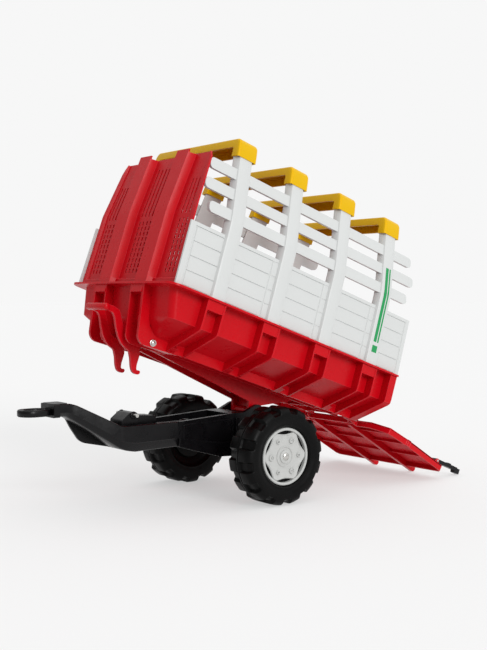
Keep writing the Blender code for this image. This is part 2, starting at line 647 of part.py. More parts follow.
def make_tub():
    tub = bin_shape("tub", 0.0, tub_origin, helper=False)
    rim = [(TUB_LENGTH, -RIM_HALF_WIDTH), (TUB_LENGTH, RIM_HALF_WIDTH)]
    corner = (RIM_FRONT_U + RIM_CORNER, RIM_HALF_WIDTH - RIM_CORNER)
    rim += arc(corner, RIM_CORNER, 90, 180, 5)
    rim += arc((corner[0], -corner[1]), RIM_CORNER, 180, 270, 5)
    join(tub, plate("tub_rim", rim, "flat", RIM_THICKNESS, -RIM_THICKNESS / 2))
    rib = mirrored([(RIB_FOOT_HALF_WIDTH, RIB_BOTTOM_W), (RIB_HALF_WIDTH, SHOULDER_W - 0.004), (RIB_HALF_WIDTH, -0.002)])
    rib_half = POST_WIDTH / 2 - RIB_THICKNESS / 2
    rib_places = [place + side * rib_half for place in post_places for side in (-1, 1)]
    rib_places += [TUB_LENGTH - REAR_BORDER, TUB_LENGTH - RIB_THICKNESS / 2 - 0.0001]
    for index, place in enumerate(rib_places):
        join(tub, plate("tub_rib_%d" % index, rib, "cross", RIB_THICKNESS, place))
    for side in (1, -1):
        skirt_v = side * (RIB_FOOT_HALF_WIDTH - 0.004)
        join(tub, block("tub_skirt_%d" % side, (0.030, skirt_v - 0.002, RIB_BOTTOM_W + 0.0005),
                        (TUB_LENGTH - 0.001, skirt_v + 0.002, FLOOR_W + 0.004)))
        front = RIM_FRONT_U + 0.004
        curve = arc((front + FRONT_RIB_CURVE, RIB_BOTTOM_W + FRONT_RIB_CURVE), FRONT_RIB_CURVE, 180, 262, 6)
        web = [(front, -0.002)] + curve
        web += [(FRONT_RIB_REAR_U, RIB_BOTTOM_W + 0.0005), (FRONT_RIB_REAR_U, FLOOR_W + 0.003), (0.03, -0.06),
                (0.03, -0.002)]
        for v in (FRONT_RIB_INNER_V, FRONT_RIB_OUTER_V):
            join(tub, plate("front_rib_%d_%d" % (side, round(v * 1000)), web, "side", RIB_THICKNESS, side * v))
        low_v, high_v = sorted((side * FRONT_RIB_INNER_V, side * FRONT_RIB_OUTER_V))
        join(tub, block("front_socket_%d" % side, (front + 0.0005, low_v, -FRONT_SOCKET_DEPTH),
                        (0.03, high_v, -0.002)))
        for place in post_places:
            low, high = sorted((side * (WALL_HALF_WIDTH - 0.008), side * (RIB_HALF_WIDTH - 0.0005)))
            join(tub, block("socket_%d_%d" % (side, round(place * 1000)),
                            (place - rib_half, low, -SOCKET_DEPTH), (place + rib_half, high, -0.002)))
    lug = [(PIVOT_U - LUG_ROOT, FLOOR_W + 0.002)] + arc((PIVOT_U, PIVOT_W), LUG_HALF_LENGTH, 180, 360, 8)
    lug += [(PIVOT_U + LUG_ROOT, FLOOR_W + 0.002)]
    join(tub, plate("pivot_lug", lug, "side", 2 * LUG_HALF_WIDTH, 0.0))
    for side in (1, -1):
        knuckle = [(TUB_LENGTH - 0.030, FLOOR_W - 0.002), (TUB_LENGTH - 0.030, HINGE_W - 0.004)]
        knuckle += arc((HINGE_U, HINGE_W), GATE_KNUCKLE_RADIUS, -90, 90, 6)
        knuckle += [(TUB_LENGTH - 0.004, FLOOR_W - 0.002)]
        join(tub, plate("tub_knuckle_%d" % side, knuckle, "side", KNUCKLE_WIDTH, side * KNUCKLE_V))
    cut(tub, bin_shape("cavity", TUB_WALL))
    cut(tub, rod("lug_bore", PIVOT_ROD_RADIUS + RUNNING_GAP, (PIVOT_U, -0.2, PIVOT_W), (PIVOT_U, 0.2, PIVOT_W),
                 steps=24))
    cut(tub, rod("lever_bore", LEVER_ROD_RADIUS + FIT_GAP, (LEVER_U, -0.2, LEVER_W), (LEVER_U, 0.2, LEVER_W),
                 steps=20))
    cut(tub, rod("gate_pin_bore", GATE_PIN_RADIUS + FIT_GAP, (HINGE_U, -0.2, HINGE_W), (HINGE_U, 0.2, HINGE_W),
                 steps=16))
    for side in (1, -1):
        middle = side * tongue_v()
        half = TONGUE_THICKNESS / 2 + FIT_GAP
        for place in post_places:
            reach = TONGUE_WIDTH / 2 + FIT_GAP
            cut(tub, block("pocket_%d_%d" % (side, round(place * 1000)),
                           (place - reach, middle - half, -TONGUE_LENGTH - FIT_GAP),
                           (place + reach, middle + half, 0.01)))
    return finish(tub, RED, 0.3)


def tongue_v():
    return POST_BASE_V - POST_DEPTH / 2 - 0.001


# ---- sides ----
def post_line():
    """Outer face of the posts in the cross view, bottom to top."""
    return [(POST_BASE_V, FIT_GAP), (POST_KINK_V, POST_KINK_W), (POST_TOP_V, POST_HEIGHT - FIT_GAP)]


def post_v(w):
    """How far out the posts' outer face is at a height."""
    if w < POST_KINK_W:
        return POST_BASE_V + (POST_KINK_V - POST_BASE_V) * w / POST_KINK_W
    return POST_KINK_V + (POST_TOP_V - POST_KINK_V) * (w - POST_KINK_W) / (POST_HEIGHT - POST_KINK_W)


def room_between_sides(w):
    """Half the width left between the two side panels at a height."""
    return post_v(w) - SLAT_SET_IN - SLAT_THICKNESS - SIDE_GAP


def across(side, points):
    return [(side * a, b) for a, b in points]


def leaning_bar(name, side, low, high, set_in, thickness, start, end):
    """A bar that follows the posts' slope, from its lower to its upper edge."""
    line = [(post_v(low) - set_in, low), (post_v(high) - set_in, high)]
    return plate(name, across(side, upright_strip(line, thickness)), "cross", end - start, (start + end) / 2)


def make_side(name, side):
    line = [(a - BOARD_SET_IN, b) for a, b in ((POST_BASE_V, FIT_GAP), (post_v(BOARD_TOP_W), BOARD_TOP_W))]
    length = BOARD_REAR_U - BOARD_FRONT_U
    panel = plate(name + "_side_panel", across(side, upright_strip(line, BOARD_THICKNESS)), "cross", length,
                  (BOARD_REAR_U + BOARD_FRONT_U) / 2, tub_origin, helper=False)
    for index, place in enumerate(post_places):
        outline = across(side, upright_strip(post_line(), POST_DEPTH))
        join(panel, plate("%s_post_%d" % (name, index), outline, "cross", POST_WIDTH, place))
        top = [(post_v(POST_HEIGHT - 0.03) - 0.0045, POST_HEIGHT - 0.03),
               (post_v(POST_HEIGHT + HOOP_TONGUE_HEIGHT) - 0.0045, POST_HEIGHT + HOOP_TONGUE_HEIGHT)]
        join(panel, plate("%s_post_top_%d" % (name, index), across(side, upright_strip(top, 0.008)), "cross",
                          POST_WIDTH - 0.012, place))
        middle = side * tongue_v()
        join(panel, block("%s_tongue_%d" % (name, index),
                          (place - TONGUE_WIDTH / 2, middle - TONGUE_THICKNESS / 2, -TONGUE_LENGTH),
                          (place + TONGUE_WIDTH / 2, middle + TONGUE_THICKNESS / 2, 0.004)))
    for index, (drop, start, short) in enumerate(SLATS):
        low = POST_HEIGHT - drop - SLAT_HEIGHT / 2
        join(panel, leaning_bar("%s_slat_%d" % (name, index), side, low, low + SLAT_HEIGHT, SLAT_SET_IN,
                                SLAT_THICKNESS, start, TUB_LENGTH - short))
    return finish(panel, WHITE, 0.35)


# ---- hoops ----
def make_hoop(index, place):
    foot_w = POST_HEIGHT + HOOP_SEAT_GAP
    face_v = post_v(POST_HEIGHT) + HOOP_OUTSET
    inner_v = face_v - POST_DEPTH - 2 * HOOP_OUTSET
    right = [(inner_v - 0.003, HOOP_TOP_W - HOOP_BAR), (inner_v, foot_w), (post_v(foot_w) + HOOP_OUTSET, foot_w)]
    right += arc((face_v - HOOP_CORNER - HOOP_LEAN, HOOP_TOP_W - HOOP_CORNER), HOOP_CORNER, 20, 90, 4)
    hoop = plate("hoop_%d" % (index + 1), mirrored(right), "cross", POST_WIDTH + 2 * HOOP_WALL, place, tub_origin,
                 helper=False)
    start, end = place - POST_WIDTH / 2, place + POST_WIDTH / 2
    for side in (1, -1):
        low, high = sorted((side * (inner_v + HOOP_WALL), side * (face_v - HOOP_WALL - 0.002)))
        cut(hoop, block("hoop_%d_leg_%d" % (index, side), (start, low, POST_HEIGHT - 0.02),
                        (end, high, HOOP_TOP_W - HOOP_WALL - 0.004)))
    reach = inner_v - 0.004
    cut(hoop, block("hoop_%d_channel" % index, (start, -reach, HOOP_TOP_W - HOOP_BAR - 0.02),
                    (end, reach, HOOP_TOP_W - HOOP_WALL)))
    return finish(hoop, YELLOW, 0.35)


# ---- front wall ----
def front_line(ahead=0.0):
    """The front wall's face in the side view, bottom to top, moved ahead by a distance."""
    slope = (FRONT_TOP_U - FRONT_WALL_U) / (FRONT_TOP_W - FRONT_KINK_W)
    top = FRONT_PILASTER_TOP_W + 0.01
    return [(FRONT_WALL_U - ahead, FIT_GAP), (FRONT_WALL_U - ahead, FRONT_KINK_W - ahead * 1.5),
            (FRONT_WALL_U + slope * (top - FRONT_KINK_W) - ahead * 0.35, top)]


def make_front_wall():
    line = front_line()
    wall = plate("front_wall", list(reversed(strip(line, -FRONT_WALL_THICKNESS))), "side", 1.0, 0.0, tub_origin,
                 helper=False)
    shoulder = PILASTER_V + PILASTER_HALF_WIDTH
    inner = PILASTER_V - PILASTER_HALF_WIDTH
    base_v, kink_v, top_v = (room_between_sides(w) for w in (0.0, POST_KINK_W, FRONT_TOP_W - FRONT_CHAMFER))
    outline = mirrored([(base_v, -0.01), (base_v, 0.0), (kink_v, POST_KINK_W), (top_v, FRONT_TOP_W - FRONT_CHAMFER),
                        (top_v - FRONT_CHAMFER, FRONT_TOP_W),
                        (shoulder + 0.004, FRONT_TOP_W + 0.002), (shoulder - 0.002, FRONT_PILASTER_TOP_W),
                        (inner + 0.002, FRONT_PILASTER_TOP_W), (inner - 0.004, FRONT_TOP_W)])
    combine(wall, plate("front_outline", outline, "cross", 0.4, 0.0), "INTERSECT")
    for side in (1, -1):
        low_line = front_line(PILASTER_DEPTH)
        back_line = front_line(-0.001)
        body = low_line + list(reversed(back_line))
        pilaster = plate("pilaster_%d" % side, body, "side", 2 * PILASTER_HALF_WIDTH - 0.006, side * PILASTER_V)
        top = block("pilaster_top_%d" % side, (-0.1, -0.4, FRONT_PILASTER_TOP_W - 0.004), (0.2, 0.4, 0.5))
        cut(pilaster, top)
        join(wall, pilaster)
        hollow_front = [(a + 0.003, b) for a, b in low_line]
        hollow = [(hollow_front[0][0], -0.01)] + hollow_front[1:] + [(0.1, hollow_front[-1][1]), (0.1, -0.01)]
        hole = plate("pilaster_hollow_%d" % side, hollow, "side", 2 * PILASTER_HALF_WIDTH - 0.014, side * PILASTER_V)
        cut(hole, block("pilaster_lid_%d" % side, (-0.1, -0.4, FRONT_PILASTER_TOP_W - 0.008), (0.2, 0.4, 0.5)))
        cut(wall, hole)
    for middle, count in zip(SLOT_COLUMNS, SLOTS_IN_PANEL):
        for column in range(count):
            v = middle + (column - (count - 1) / 2) * SLOT_PITCH
            for row, (low, high) in enumerate(SLOT_ROWS):
                shrink = 0.03 if row and middle else 0.0
                cut(wall, block("slot_%d_%d_%d" % (round(middle * 1000), column, row), (-0.05, v - SLOT_WIDTH / 2, low),
                                (0.15, v + SLOT_WIDTH / 2, high - shrink)))
    return finish(wall, RED, 0.3)


# ---- front latch ----
def make_lever():
    profile = [(-0.046, -0.066), (-0.046, -0.078), (-0.038, -0.086), (-0.031, -0.110), (-0.014, -0.132),
               (0.028, -0.136), (0.056, -0.146), (0.066, -0.170), (0.070, -0.189), (0.084, -0.189), (0.088, -0.185),
               (0.087, -0.181), (0.077, -0.179), (0.0745, -0.170), (0.0770, -0.158), (0.0765, -0.140),
               (0.068, -0.118), (0.061, -0.1125), (0.041, -0.1125), (0.000, -0.122), (-0.012, -0.108),
               (-0.022, -0.082), (-0.024, -0.066)]
    local = [(a - LEVER_U, b - LEVER_W) for a, b in profile]
    lever = plate("front_latch", local, "side", LEVER_ARM_THICKNESS, LEVER_ARM_V, lever_axis, helper=False)
    join(lever, plate("far_arm", local, "side", LEVER_ARM_THICKNESS, -LEVER_ARM_V))
    join(lever, rod("lever_tube", LEVER_TUBE_RADIUS, (0, -LEVER_ARM_V, 0), (0, LEVER_ARM_V, 0), steps=24))
    handle_low = (-0.0465 - LEVER_U, -HANDLE_HALF_WIDTH, -0.0775 - LEVER_W)
    handle_high = (-0.0235 - LEVER_U, HANDLE_HALF_WIDTH, -0.0655 - LEVER_W)
    handle = block("handle_bar", handle_low, handle_high)
    bevel(handle, 0.004, 2)
    join(lever, handle)
    cut(lever, rod("lever_tube_bore", LEVER_ROD_RADIUS + RUNNING_GAP, (0, -0.1, 0), (0, 0.1, 0), steps=20))
    finish(lever, RED, 0.3)
    reach = RIB_FOOT_HALF_WIDTH - 0.002 + 0.0005
    shaft = rod("latch_rod", LEVER_ROD_RADIUS, (LEVER_U, -reach, LEVER_W), (LEVER_U, reach, LEVER_W), tub_origin,
                helper=False, steps=20)
    for side in (1, -1):
        start = side * reach
        join(shaft, rod("rod_head_%d" % side, ROD_HEAD_RADIUS, (LEVER_U, start - side * 0.0002, LEVER_W),
                        (LEVER_U, start + side * ROD_HEAD_HEIGHT, LEVER_W), steps=20))
    finish(shaft, STEEL, 0.3, 1.0)


# ---- tailgate ----
def gate_outline(grow=0.0):
    """Right half of the gate, hinge edge first, as (x, y)."""
    return [(0.004 + grow, GATE_HINGE_HALF_WIDTH - grow), (0.040, GATE_HALF_WIDTH - 0.010 - grow),
            (0.100, GATE_HALF_WIDTH - 0.001 - grow),
            (0.103, GATE_HALF_WIDTH + 0.0025 - grow), (0.112, GATE_HALF_WIDTH + 0.0025 - grow),
            (0.115, GATE_HALF_WIDTH - grow), (GATE_LENGTH - 0.008, GATE_HALF_WIDTH - grow),
            (GATE_LENGTH - grow, GATE_HALF_WIDTH - 0.009 - grow * 0.5)]


def gate_half_width(x):
    """The gate's half width at a distance from the hinge."""
    points = gate_outline()
    for (x0, y0), (x1, y1) in zip(points, points[1:]):
        if x0 <= x <= x1:
            return y0 + (y1 - y0) * (x - x0) / (x1 - x0)
    return GATE_HALF_WIDTH


def both_sides(points):
    return points + [(a, -b) for a, b in reversed(points)]


def make_gate():
    outer_z = GATE_INNER_Z - GATE_BORDER_DEPTH
    gate = plate("tailgate", both_sides(gate_outline()), "flat", GATE_BORDER_DEPTH, (GATE_INNER_Z + outer_z) / 2,
                 gate_axis, helper=False)
    cut(gate, plate("gate_hollow", both_sides(gate_outline(GATE_BORDER)), "flat", GATE_BORDER_DEPTH,
                    GATE_INNER_Z - GATE_SKIN - GATE_BORDER_DEPTH / 2))
    rib_z = outer_z - GATE_RIB_DROP
    rib_side = [(0.006, GATE_INNER_Z - 0.001), (0.006, rib_z + 0.006), (0.012, rib_z)]
    rib_side += arc((GATE_NOSE_X, rib_z + GATE_RIB_NOSE), GATE_RIB_NOSE, -90, 90, 6)
    for side in (1, -1):
        join(gate, plate("gate_rib_%d" % side, rib_side, "side", GATE_RIB_WIDTH, side * GATE_RIB_V))
    for index, x in enumerate(GATE_CROSS_X):
        reach = gate_half_width(x) - GATE_BORDER / 2
        join(gate, block("gate_cross_%d" % index, (x - GATE_SKIN / 2, -reach, outer_z + 0.003),
                         (x + GATE_SKIN / 2, reach, GATE_INNER_Z - 0.001)))
    for side in (1, -1):
        knuckle = arc((0, 0), GATE_KNUCKLE_RADIUS, 90, 270, 8)
        knuckle += [(0.010, -GATE_KNUCKLE_RADIUS), (0.010, GATE_KNUCKLE_RADIUS)]
        join(gate, plate("gate_knuckle_%d" % side, knuckle, "side", GATE_KNUCKLE_WIDTH, side * GATE_KNUCKLE_V))
    room = KNUCKLE_WIDTH / 2 + SIDE_GAP
    for side in (1, -1):
        cut(gate, block("knuckle_room_%d" % side, (-0.02, side * KNUCKLE_V - room, -0.02),
                        (KNUCKLE_NOTCH, side * KNUCKLE_V + room, 0.02)))
    cut(gate, rod("gate_bore", GATE_PIN_RADIUS + RUNNING_GAP, (0, -0.2, 0), (0, 0.2, 0), steps=16))
    finish(gate, RED, 0.3)
    for name, side in SIDES:
        start = side * (GATE_KNUCKLE_V - GATE_KNUCKLE_WIDTH / 2 - 0.002)
        end = side * (KNUCKLE_V + KNUCKLE_WIDTH / 2 + 0.002)
        pin = rod(name + "_hinge_pin", GATE_PIN_RADIUS, (HINGE_U, start, HINGE_W), (HINGE_U, end, HINGE_W),
                  tub_origin, helper=False, steps=16)
        finish(pin, STEEL, 0.3, 1.0)


def make_gate_latch():
    half = 0.0055
    outline = arc((0, 0), half, 90, 270, 6) + [(0.030, -half), (0.030, -0.004), (GATE_LATCH_LENGTH - 0.020, -0.004),
               (GATE_LATCH_LENGTH - 0.018, -0.010), (GATE_LATCH_LENGTH, -0.010), (GATE_LATCH_LENGTH, 0.004),
               (0.062, 0.004), (0.060, 0.008), (0.048, 0.008), (0.046, half)]
    latch = plate("tailgate_latch", outline, "side", GATE_LATCH_WIDTH, 0.0, latch_axis, helper=False)
    cut(latch, rod("latch_bore", GATE_PIN_RADIUS + RUNNING_GAP, (0, -0.05, 0), (0, 0.05, 0), steps=16))
    finish(latch, BLACK, 0.4)
    reach = GATE_LATCH_WIDTH / 2 + 0.006
    place = (GATE_LATCH_X, GATE_LATCH_V, GATE_LATCH_Z)
    pin = rod("tailgate_latch_pin", GATE_PIN_RADIUS, (place[0], place[1] - reach, place[2]),
              (place[0], place[1] + reach, place[2]), gate_axis, helper=False, steps=16)
    finish(pin, STEEL, 0.3, 1.0)


def latch_bracket():
    """Two cheeks on the tailgate's inner face that hold the latch's pin."""
    gate = bpy.data.objects["tailgate"]
    for side in (1, -1):
        middle = GATE_LATCH_V + side * (GATE_LATCH_WIDTH / 2 + SIDE_GAP + 0.002)
        cheek = [(GATE_LATCH_X - 0.010, GATE_INNER_Z - 0.001), (GATE_LATCH_X + 0.010, GATE_INNER_Z - 0.001)]
        cheek += arc((GATE_LATCH_X, GATE_LATCH_Z), 0.0055, 0, 180, 6)
        join(gate, plate("latch_cheek_%d" % side, cheek, "side", 0.004, middle))
    cut(gate, rod("cheek_bore", GATE_PIN_RADIUS + FIT_GAP, (GATE_LATCH_X, GATE_LATCH_V - 0.05, GATE_LATCH_Z),
                  (GATE_LATCH_X, GATE_LATCH_V + 0.05, GATE_LATCH_Z), steps=16))


def main():
    make_drawbar()
    make_hitch_eye()
    make_rear_frame()
    make_keeper()
    make_axle()
    for name, side in SIDES:
        make_wheel(name, side)
    make_tub()
    for name, side in SIDES:
        make_side(name, side)
    for index, place in enumerate(post_places):
        make_hoop(index, place)
    make_front_wall()
    make_lever()
    make_gate()
    make_gate_latch()
    latch_bracket()


main()
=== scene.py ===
"""Gives a ride-on tractor's tipping hay wagon its moulded, blown, turned and plated finish."""

import json
import math

import bmesh
import bpy
from mathutils import Matrix, Vector


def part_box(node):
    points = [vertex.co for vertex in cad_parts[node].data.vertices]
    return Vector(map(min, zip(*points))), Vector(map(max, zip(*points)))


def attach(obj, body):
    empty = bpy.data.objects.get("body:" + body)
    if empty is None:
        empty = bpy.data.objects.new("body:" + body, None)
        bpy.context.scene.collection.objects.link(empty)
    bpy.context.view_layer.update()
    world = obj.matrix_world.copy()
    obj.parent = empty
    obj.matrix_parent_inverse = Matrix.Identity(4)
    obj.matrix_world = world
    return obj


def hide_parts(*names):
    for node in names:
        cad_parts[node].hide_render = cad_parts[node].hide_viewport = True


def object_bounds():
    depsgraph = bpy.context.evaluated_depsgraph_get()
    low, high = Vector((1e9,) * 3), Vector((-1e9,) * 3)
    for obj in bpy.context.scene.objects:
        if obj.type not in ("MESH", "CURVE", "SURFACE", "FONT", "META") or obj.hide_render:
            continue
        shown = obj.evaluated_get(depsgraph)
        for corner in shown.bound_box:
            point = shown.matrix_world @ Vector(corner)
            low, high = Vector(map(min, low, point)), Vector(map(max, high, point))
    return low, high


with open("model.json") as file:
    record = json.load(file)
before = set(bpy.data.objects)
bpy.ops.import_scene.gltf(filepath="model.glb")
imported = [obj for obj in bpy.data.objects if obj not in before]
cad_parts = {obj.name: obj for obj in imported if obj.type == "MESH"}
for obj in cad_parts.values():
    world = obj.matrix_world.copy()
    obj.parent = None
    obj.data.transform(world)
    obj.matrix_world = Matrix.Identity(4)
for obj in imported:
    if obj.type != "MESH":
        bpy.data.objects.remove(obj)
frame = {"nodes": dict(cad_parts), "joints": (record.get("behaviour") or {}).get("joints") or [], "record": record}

bl_info = {
    "name": "Hay Wagon Finish",
    "version": (1, 0, 0),
    "blender": (4, 5, 0),
    "location": "3D View > Sidebar > Hay Wagon",
    "description": "Builds the finished pieces of a tipping hay wagon round its frame",
    "category": "Object",
}

CAD_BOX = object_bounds()
MM = 0.001


# ---- places read from the frame ----
def joint(name):
    return next(item for item in frame["joints"] if item["name"] == name)


def joint_place(name, turn):
    """The frame of a swinging piece: its joint's axis, turned about +Y by an angle."""
    return Matrix.Translation(joint(name)["pos_m"]) @ Matrix.Rotation(turn, 4, "Y")


def local_box(node, place):
    """Lowest and highest corner of a node in a turned frame."""
    back = place.inverted()
    points = [back @ corner.co for corner in frame["nodes"][node].data.vertices]
    return (Vector([min(p[i] for p in points) for i in range(3)]),
            Vector([max(p[i] for p in points) for i in range(3)]))


RIM_LIP = 0.012            # how far the rim stands ahead of the front wall's foot
TILT = -math.radians(joint("tub_tip")["range_deg"][0])
SHUT = -math.radians(joint("tailgate_swing")["range_deg"][0])
TIP_LOW, TIP_HIGH = local_box("tub", joint_place("tub_tip", TILT))
TUB = joint_place("tub_tip", TILT) @ Matrix.Translation((TIP_LOW.x + RIM_LIP, 0, TIP_HIGH.z))
GATE = joint_place("tailgate_swing", TILT + SHUT - math.pi / 2)
LEVER = joint_place("front_latch_swing", TILT)
LATCH_TILT = math.radians(-9.5)
LATCH = joint_place("tailgate_latch_swing", TILT + SHUT - math.pi / 2 + LATCH_TILT)
AXLE = Vector(joint("left_wheel_spin")["pos_m"]) * Vector((1, 0, 1))
CHASSIS = Matrix.Translation((AXLE.x, 0, 0))

PIVOT = TUB.inverted() @ Vector(joint("tub_tip")["pos_m"])
HINGE = TUB.inverted() @ Vector(joint("tailgate_swing")["pos_m"])
LEVER_AXIS = TUB.inverted() @ Vector(joint("front_latch_swing")["pos_m"])
HOOPS = [local_box("hoop_%d" % (i + 1), TUB) for i in range(4)]
POSTS = [(low.x + high.x) / 2 for low, high in HOOPS]
PANEL_HIGH = local_box("left_side_panel", TUB)[1]
RIM_HALF = TIP_HIGH.y
REAR = HINGE.x - 0.0095
LEFT = 1 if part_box("left_tyre")[0].y > 0 else -1
SIDES = (("left", LEFT), ("right", -LEFT))


# ---- colours and materials ----
def linear(hex_colour):
    """An sRGB hex colour as linear red, green and blue."""
    parts = [int(hex_colour[i:i + 2], 16) / 255 for i in (1, 3, 5)]
    return tuple(c / 12.92 if c <= 0.04045 else ((c + 0.055) / 1.055) ** 2.4 for c in parts)


def colour_property(label, description, hex_colour):
    return bpy.props.FloatVectorProperty(name=label, description=description, subtype="COLOR", size=3,
                                         min=0.0, max=1.0, default=linear(hex_colour))


def length_property(label, description, default):
    return bpy.props.FloatProperty(name=label, description=description, default=default, min=0.0,
                                   unit="LENGTH")


class WagonColours(bpy.types.PropertyGroup):
    """The colours of the wagon's materials."""

    # The edge colours below are painted highlights: lighter copies of each plastic that stand in for light caught
    # on the bevelled edges.
    tub: colour_property("Tub", "Red polypropylene of the tub, front wall and tailgate", "#b80412")
    tub_edge: colour_property("Tub edges", "Where light gathers in the thin red edges", "#cf2f3a")
    panel: colour_property("Side panels", "White polypropylene of the side panels", "#c3c5c4")
    panel_edge: colour_property("Panel edges", "Rounded edges of the side panels", "#d4d6d5")
    hoop: colour_property("Hoops", "Yellow polypropylene of the four hoops", "#d2a600")
    hoop_edge: colour_property("Hoop edges", "Rounded edges of the hoops", "#e6b000")
    chassis: colour_property("Chassis", "Black polypropylene of the drawbar and frame", "#080709")
    chassis_edge: colour_property("Chassis edges", "Rounded edges of the chassis", "#141316")
    tyre: colour_property("Tyres", "Blow-moulded black polyethylene of the wheels", "#060606")
    rim: colour_property("Rims", "Grey polypropylene of the rim covers", "#b2b3b1")
    steel: colour_property("Steel", "Zinc-plated steel of rods, pins and caps", "#c9c8c4")
    stripe: colour_property("Stripe", "Plain stripes on the rear posts", "#0d8a4a")
    floor: colour_property("Floor", "The studio floor", "#a9a9a9")


class WagonSizes(bpy.types.PropertyGroup):
    """The sizes that shape the finished pieces."""

    edge: length_property("Edge radius", "Rounding of moulded edges", 0.0010)
    wall: length_property("Tub wall", "Thickness of the tub's wall", 0.0035)
    rib: length_property("Rib", "Thickness of the tub's ribs", 0.004)
    rim_lip: length_property("Rim thickness", "Thickness of the tub's rim", 0.0045)
    post_face: length_property("Post face", "Half width of a post's outer face", 0.016)
    groove: length_property("Groove width", "Width of the grooves between boards", 0.0028)
    groove_depth: length_property("Groove depth", "Depth of the grooves between boards", 0.0020)
    slot: length_property("Slot width", "Width of the front wall's slots", 0.0056)
    slot_pitch: length_property("Slot pitch", "Spacing of the front wall's slots", 0.0155)
    hoop_wall: length_property("Hoop wall", "Thickness of the hoops' channel", 0.0025)
    lug: length_property("Lug height", "How far the tyre's lugs stand out", 0.0074)
    lugs: bpy.props.IntProperty(name="Lugs", description="Lugs round each side of a tyre", default=13)
    plank: length_property("Plank pitch", "Spacing of the tailgate's fine planks", 0.0095)


def add_node(tree, kind, inputs=(), **settings):
    """Adds a node, sets its properties, and gives each named input a value or a link."""
    item = tree.nodes.new(kind)
    for key, value in settings.items():
        setattr(item, key, value)
    for key, value in dict(inputs).items():
        if isinstance(value, bpy.types.NodeSocket):
            tree.links.new(value, item.inputs[key])
        else:
            item.inputs[key].default_value = value
    return item


def tinted(colour, factor):
    return (*(min(1.0, c * factor) for c in colour), 1.0)


def new_tree(name):
    material = bpy.data.materials.new(name)
    material.use_nodes = True
    tree = material.node_tree
    tree.nodes.clear()
    return material, tree


def surface(name, colour, drift=0.06, drift_mm=90, grain_mm=3.0, grain_depth=0.00006, rough=(0.3, 0.42),
            rough_mm=26, scratch=0.0, **shader):
    """A skin with slow colour drift, grain as bump, patches of roughness and a few fine scuffs."""
    material, tree = new_tree(name)
    place = add_node(tree, "ShaderNodeTexCoord").outputs["Object"]
    slow = add_node(tree, "ShaderNodeTexNoise", {"Vector": place, "Scale": 1 / (drift_mm * MM),
                                                 "Detail": 2.0})
    mixed = add_node(tree, "ShaderNodeMix", {0: slow.outputs["Fac"], 6: tinted(colour, 1 - drift),
                                             7: tinted(colour, 1 + drift)}, data_type="RGBA")
    patch = add_node(tree, "ShaderNodeTexNoise", {"Vector": place, "Scale": 1 / (rough_mm * MM),
                                                  "Detail": 4.0, "Roughness": 0.6})
    satin = add_node(tree, "ShaderNodeMapRange", {"Value": patch.outputs["Fac"], "From Min": 0.3,
                                                  "From Max": 0.7, "To Min": rough[0],
                                                  "To Max": rough[1]})
    grain = add_node(tree, "ShaderNodeTexNoise", {"Vector": place, "Scale": 1 / (grain_mm * MM),
                                                  "Detail": 3.0})
    height = grain.outputs["Fac"]
    if scratch:
        stretch = add_node(tree, "ShaderNodeMapping", {"Vector": place, "Scale": (9.0, 60.0, 420.0),
                                                       "Rotation": (0.3, 0.5, 0.2)})
        streak = add_node(tree, "ShaderNodeTexNoise", {"Vector": stretch.outputs["Vector"], "Scale": 1.0,
                                                       "Detail": 1.0})
        line = add_node(tree, "ShaderNodeMapRange", {"Value": streak.outputs["Fac"], "From Min": 0.68,
                                                     "From Max": 0.74, "To Max": scratch})
        joined = add_node(tree, "ShaderNodeMath", {0: height, 1: line.outputs["Result"]},
                          operation="SUBTRACT")
        height = joined.outputs["Value"]
    bump = add_node(tree, "ShaderNodeBump", {"Height": height, "Distance": grain_depth, "Strength": 1.0})
    skin = add_node(tree, "ShaderNodeBsdfPrincipled", {"Base Color": mixed.outputs[2],
                                                       "Normal": bump.outputs["Normal"],
                                                       "Roughness": satin.outputs["Result"], **shader})
    add_node(tree, "ShaderNodeOutputMaterial", {"Surface": skin.outputs["BSDF"]})
    material.diffuse_color = (*colour, 1.0)
    return material


def red_injection_moulded_polypropylene(name, colour):
    # Waxy, slightly translucent and semi-gloss from a polished tool: broad soft highlights. The grain is
    # the flow texture of the skin, a few millimetres across so that it shows.
    return surface(name, colour, drift=0.05, grain_mm=4.0, grain_depth=0.00008, rough=(0.24, 0.36),
                   scratch=0.25, **{"Specular IOR Level": 0.16})


def white_injection_moulded_polypropylene(name, colour):
    # The same resin pigmented white: flatter, with a faint warm and cool drift and fine handling scuffs.
    return surface(name, colour, drift=0.025, drift_mm=140, grain_mm=3.5, grain_depth=0.00005,
                   rough=(0.34, 0.46), scratch=0.2, **{"Specular IOR Level": 0.35})


def yellow_injection_moulded_polypropylene(name, colour):
    # Thin and semi-gloss, deep yellow; its hollow underside looks amber only where it lies in shade.
    return surface(name, colour, drift=0.05, grain_mm=4.0, grain_depth=0.00006, rough=(0.26, 0.38),
                   scratch=0.2, **{"Specular IOR Level": 0.14})


def black_injection_moulded_polypropylene(name, colour):
    # Carbon-filled and polished by handling: a dark skin with clear, slightly wavy reflections.
    return surface(name, colour, drift=0.15, grain_mm=6.0, grain_depth=0.00012, rough=(0.22, 0.38),
                   scratch=0.35, **{"Specular IOR Level": 0.22})


def black_blow_moulded_polyethylene(name, colour):
    # Blown against a sand-blasted mould: an even satin black with a pebbled skin and dusty patches.
    return surface(name, colour, drift=0.25, drift_mm=40, grain_mm=2.4, grain_depth=0.00016,
                   rough=(0.3, 0.5), rough_mm=18, scratch=0.3, **{"Specular IOR Level": 0.10})


def grey_injection_moulded_polypropylene(name, colour):
    # A light grey cover, matt from a spark-eroded tool.
    return surface(name, colour, drift=0.02, grain_mm=2.0, grain_depth=0.00004, rough=(0.36, 0.48),
                   **{"Specular IOR Level": 0.35})


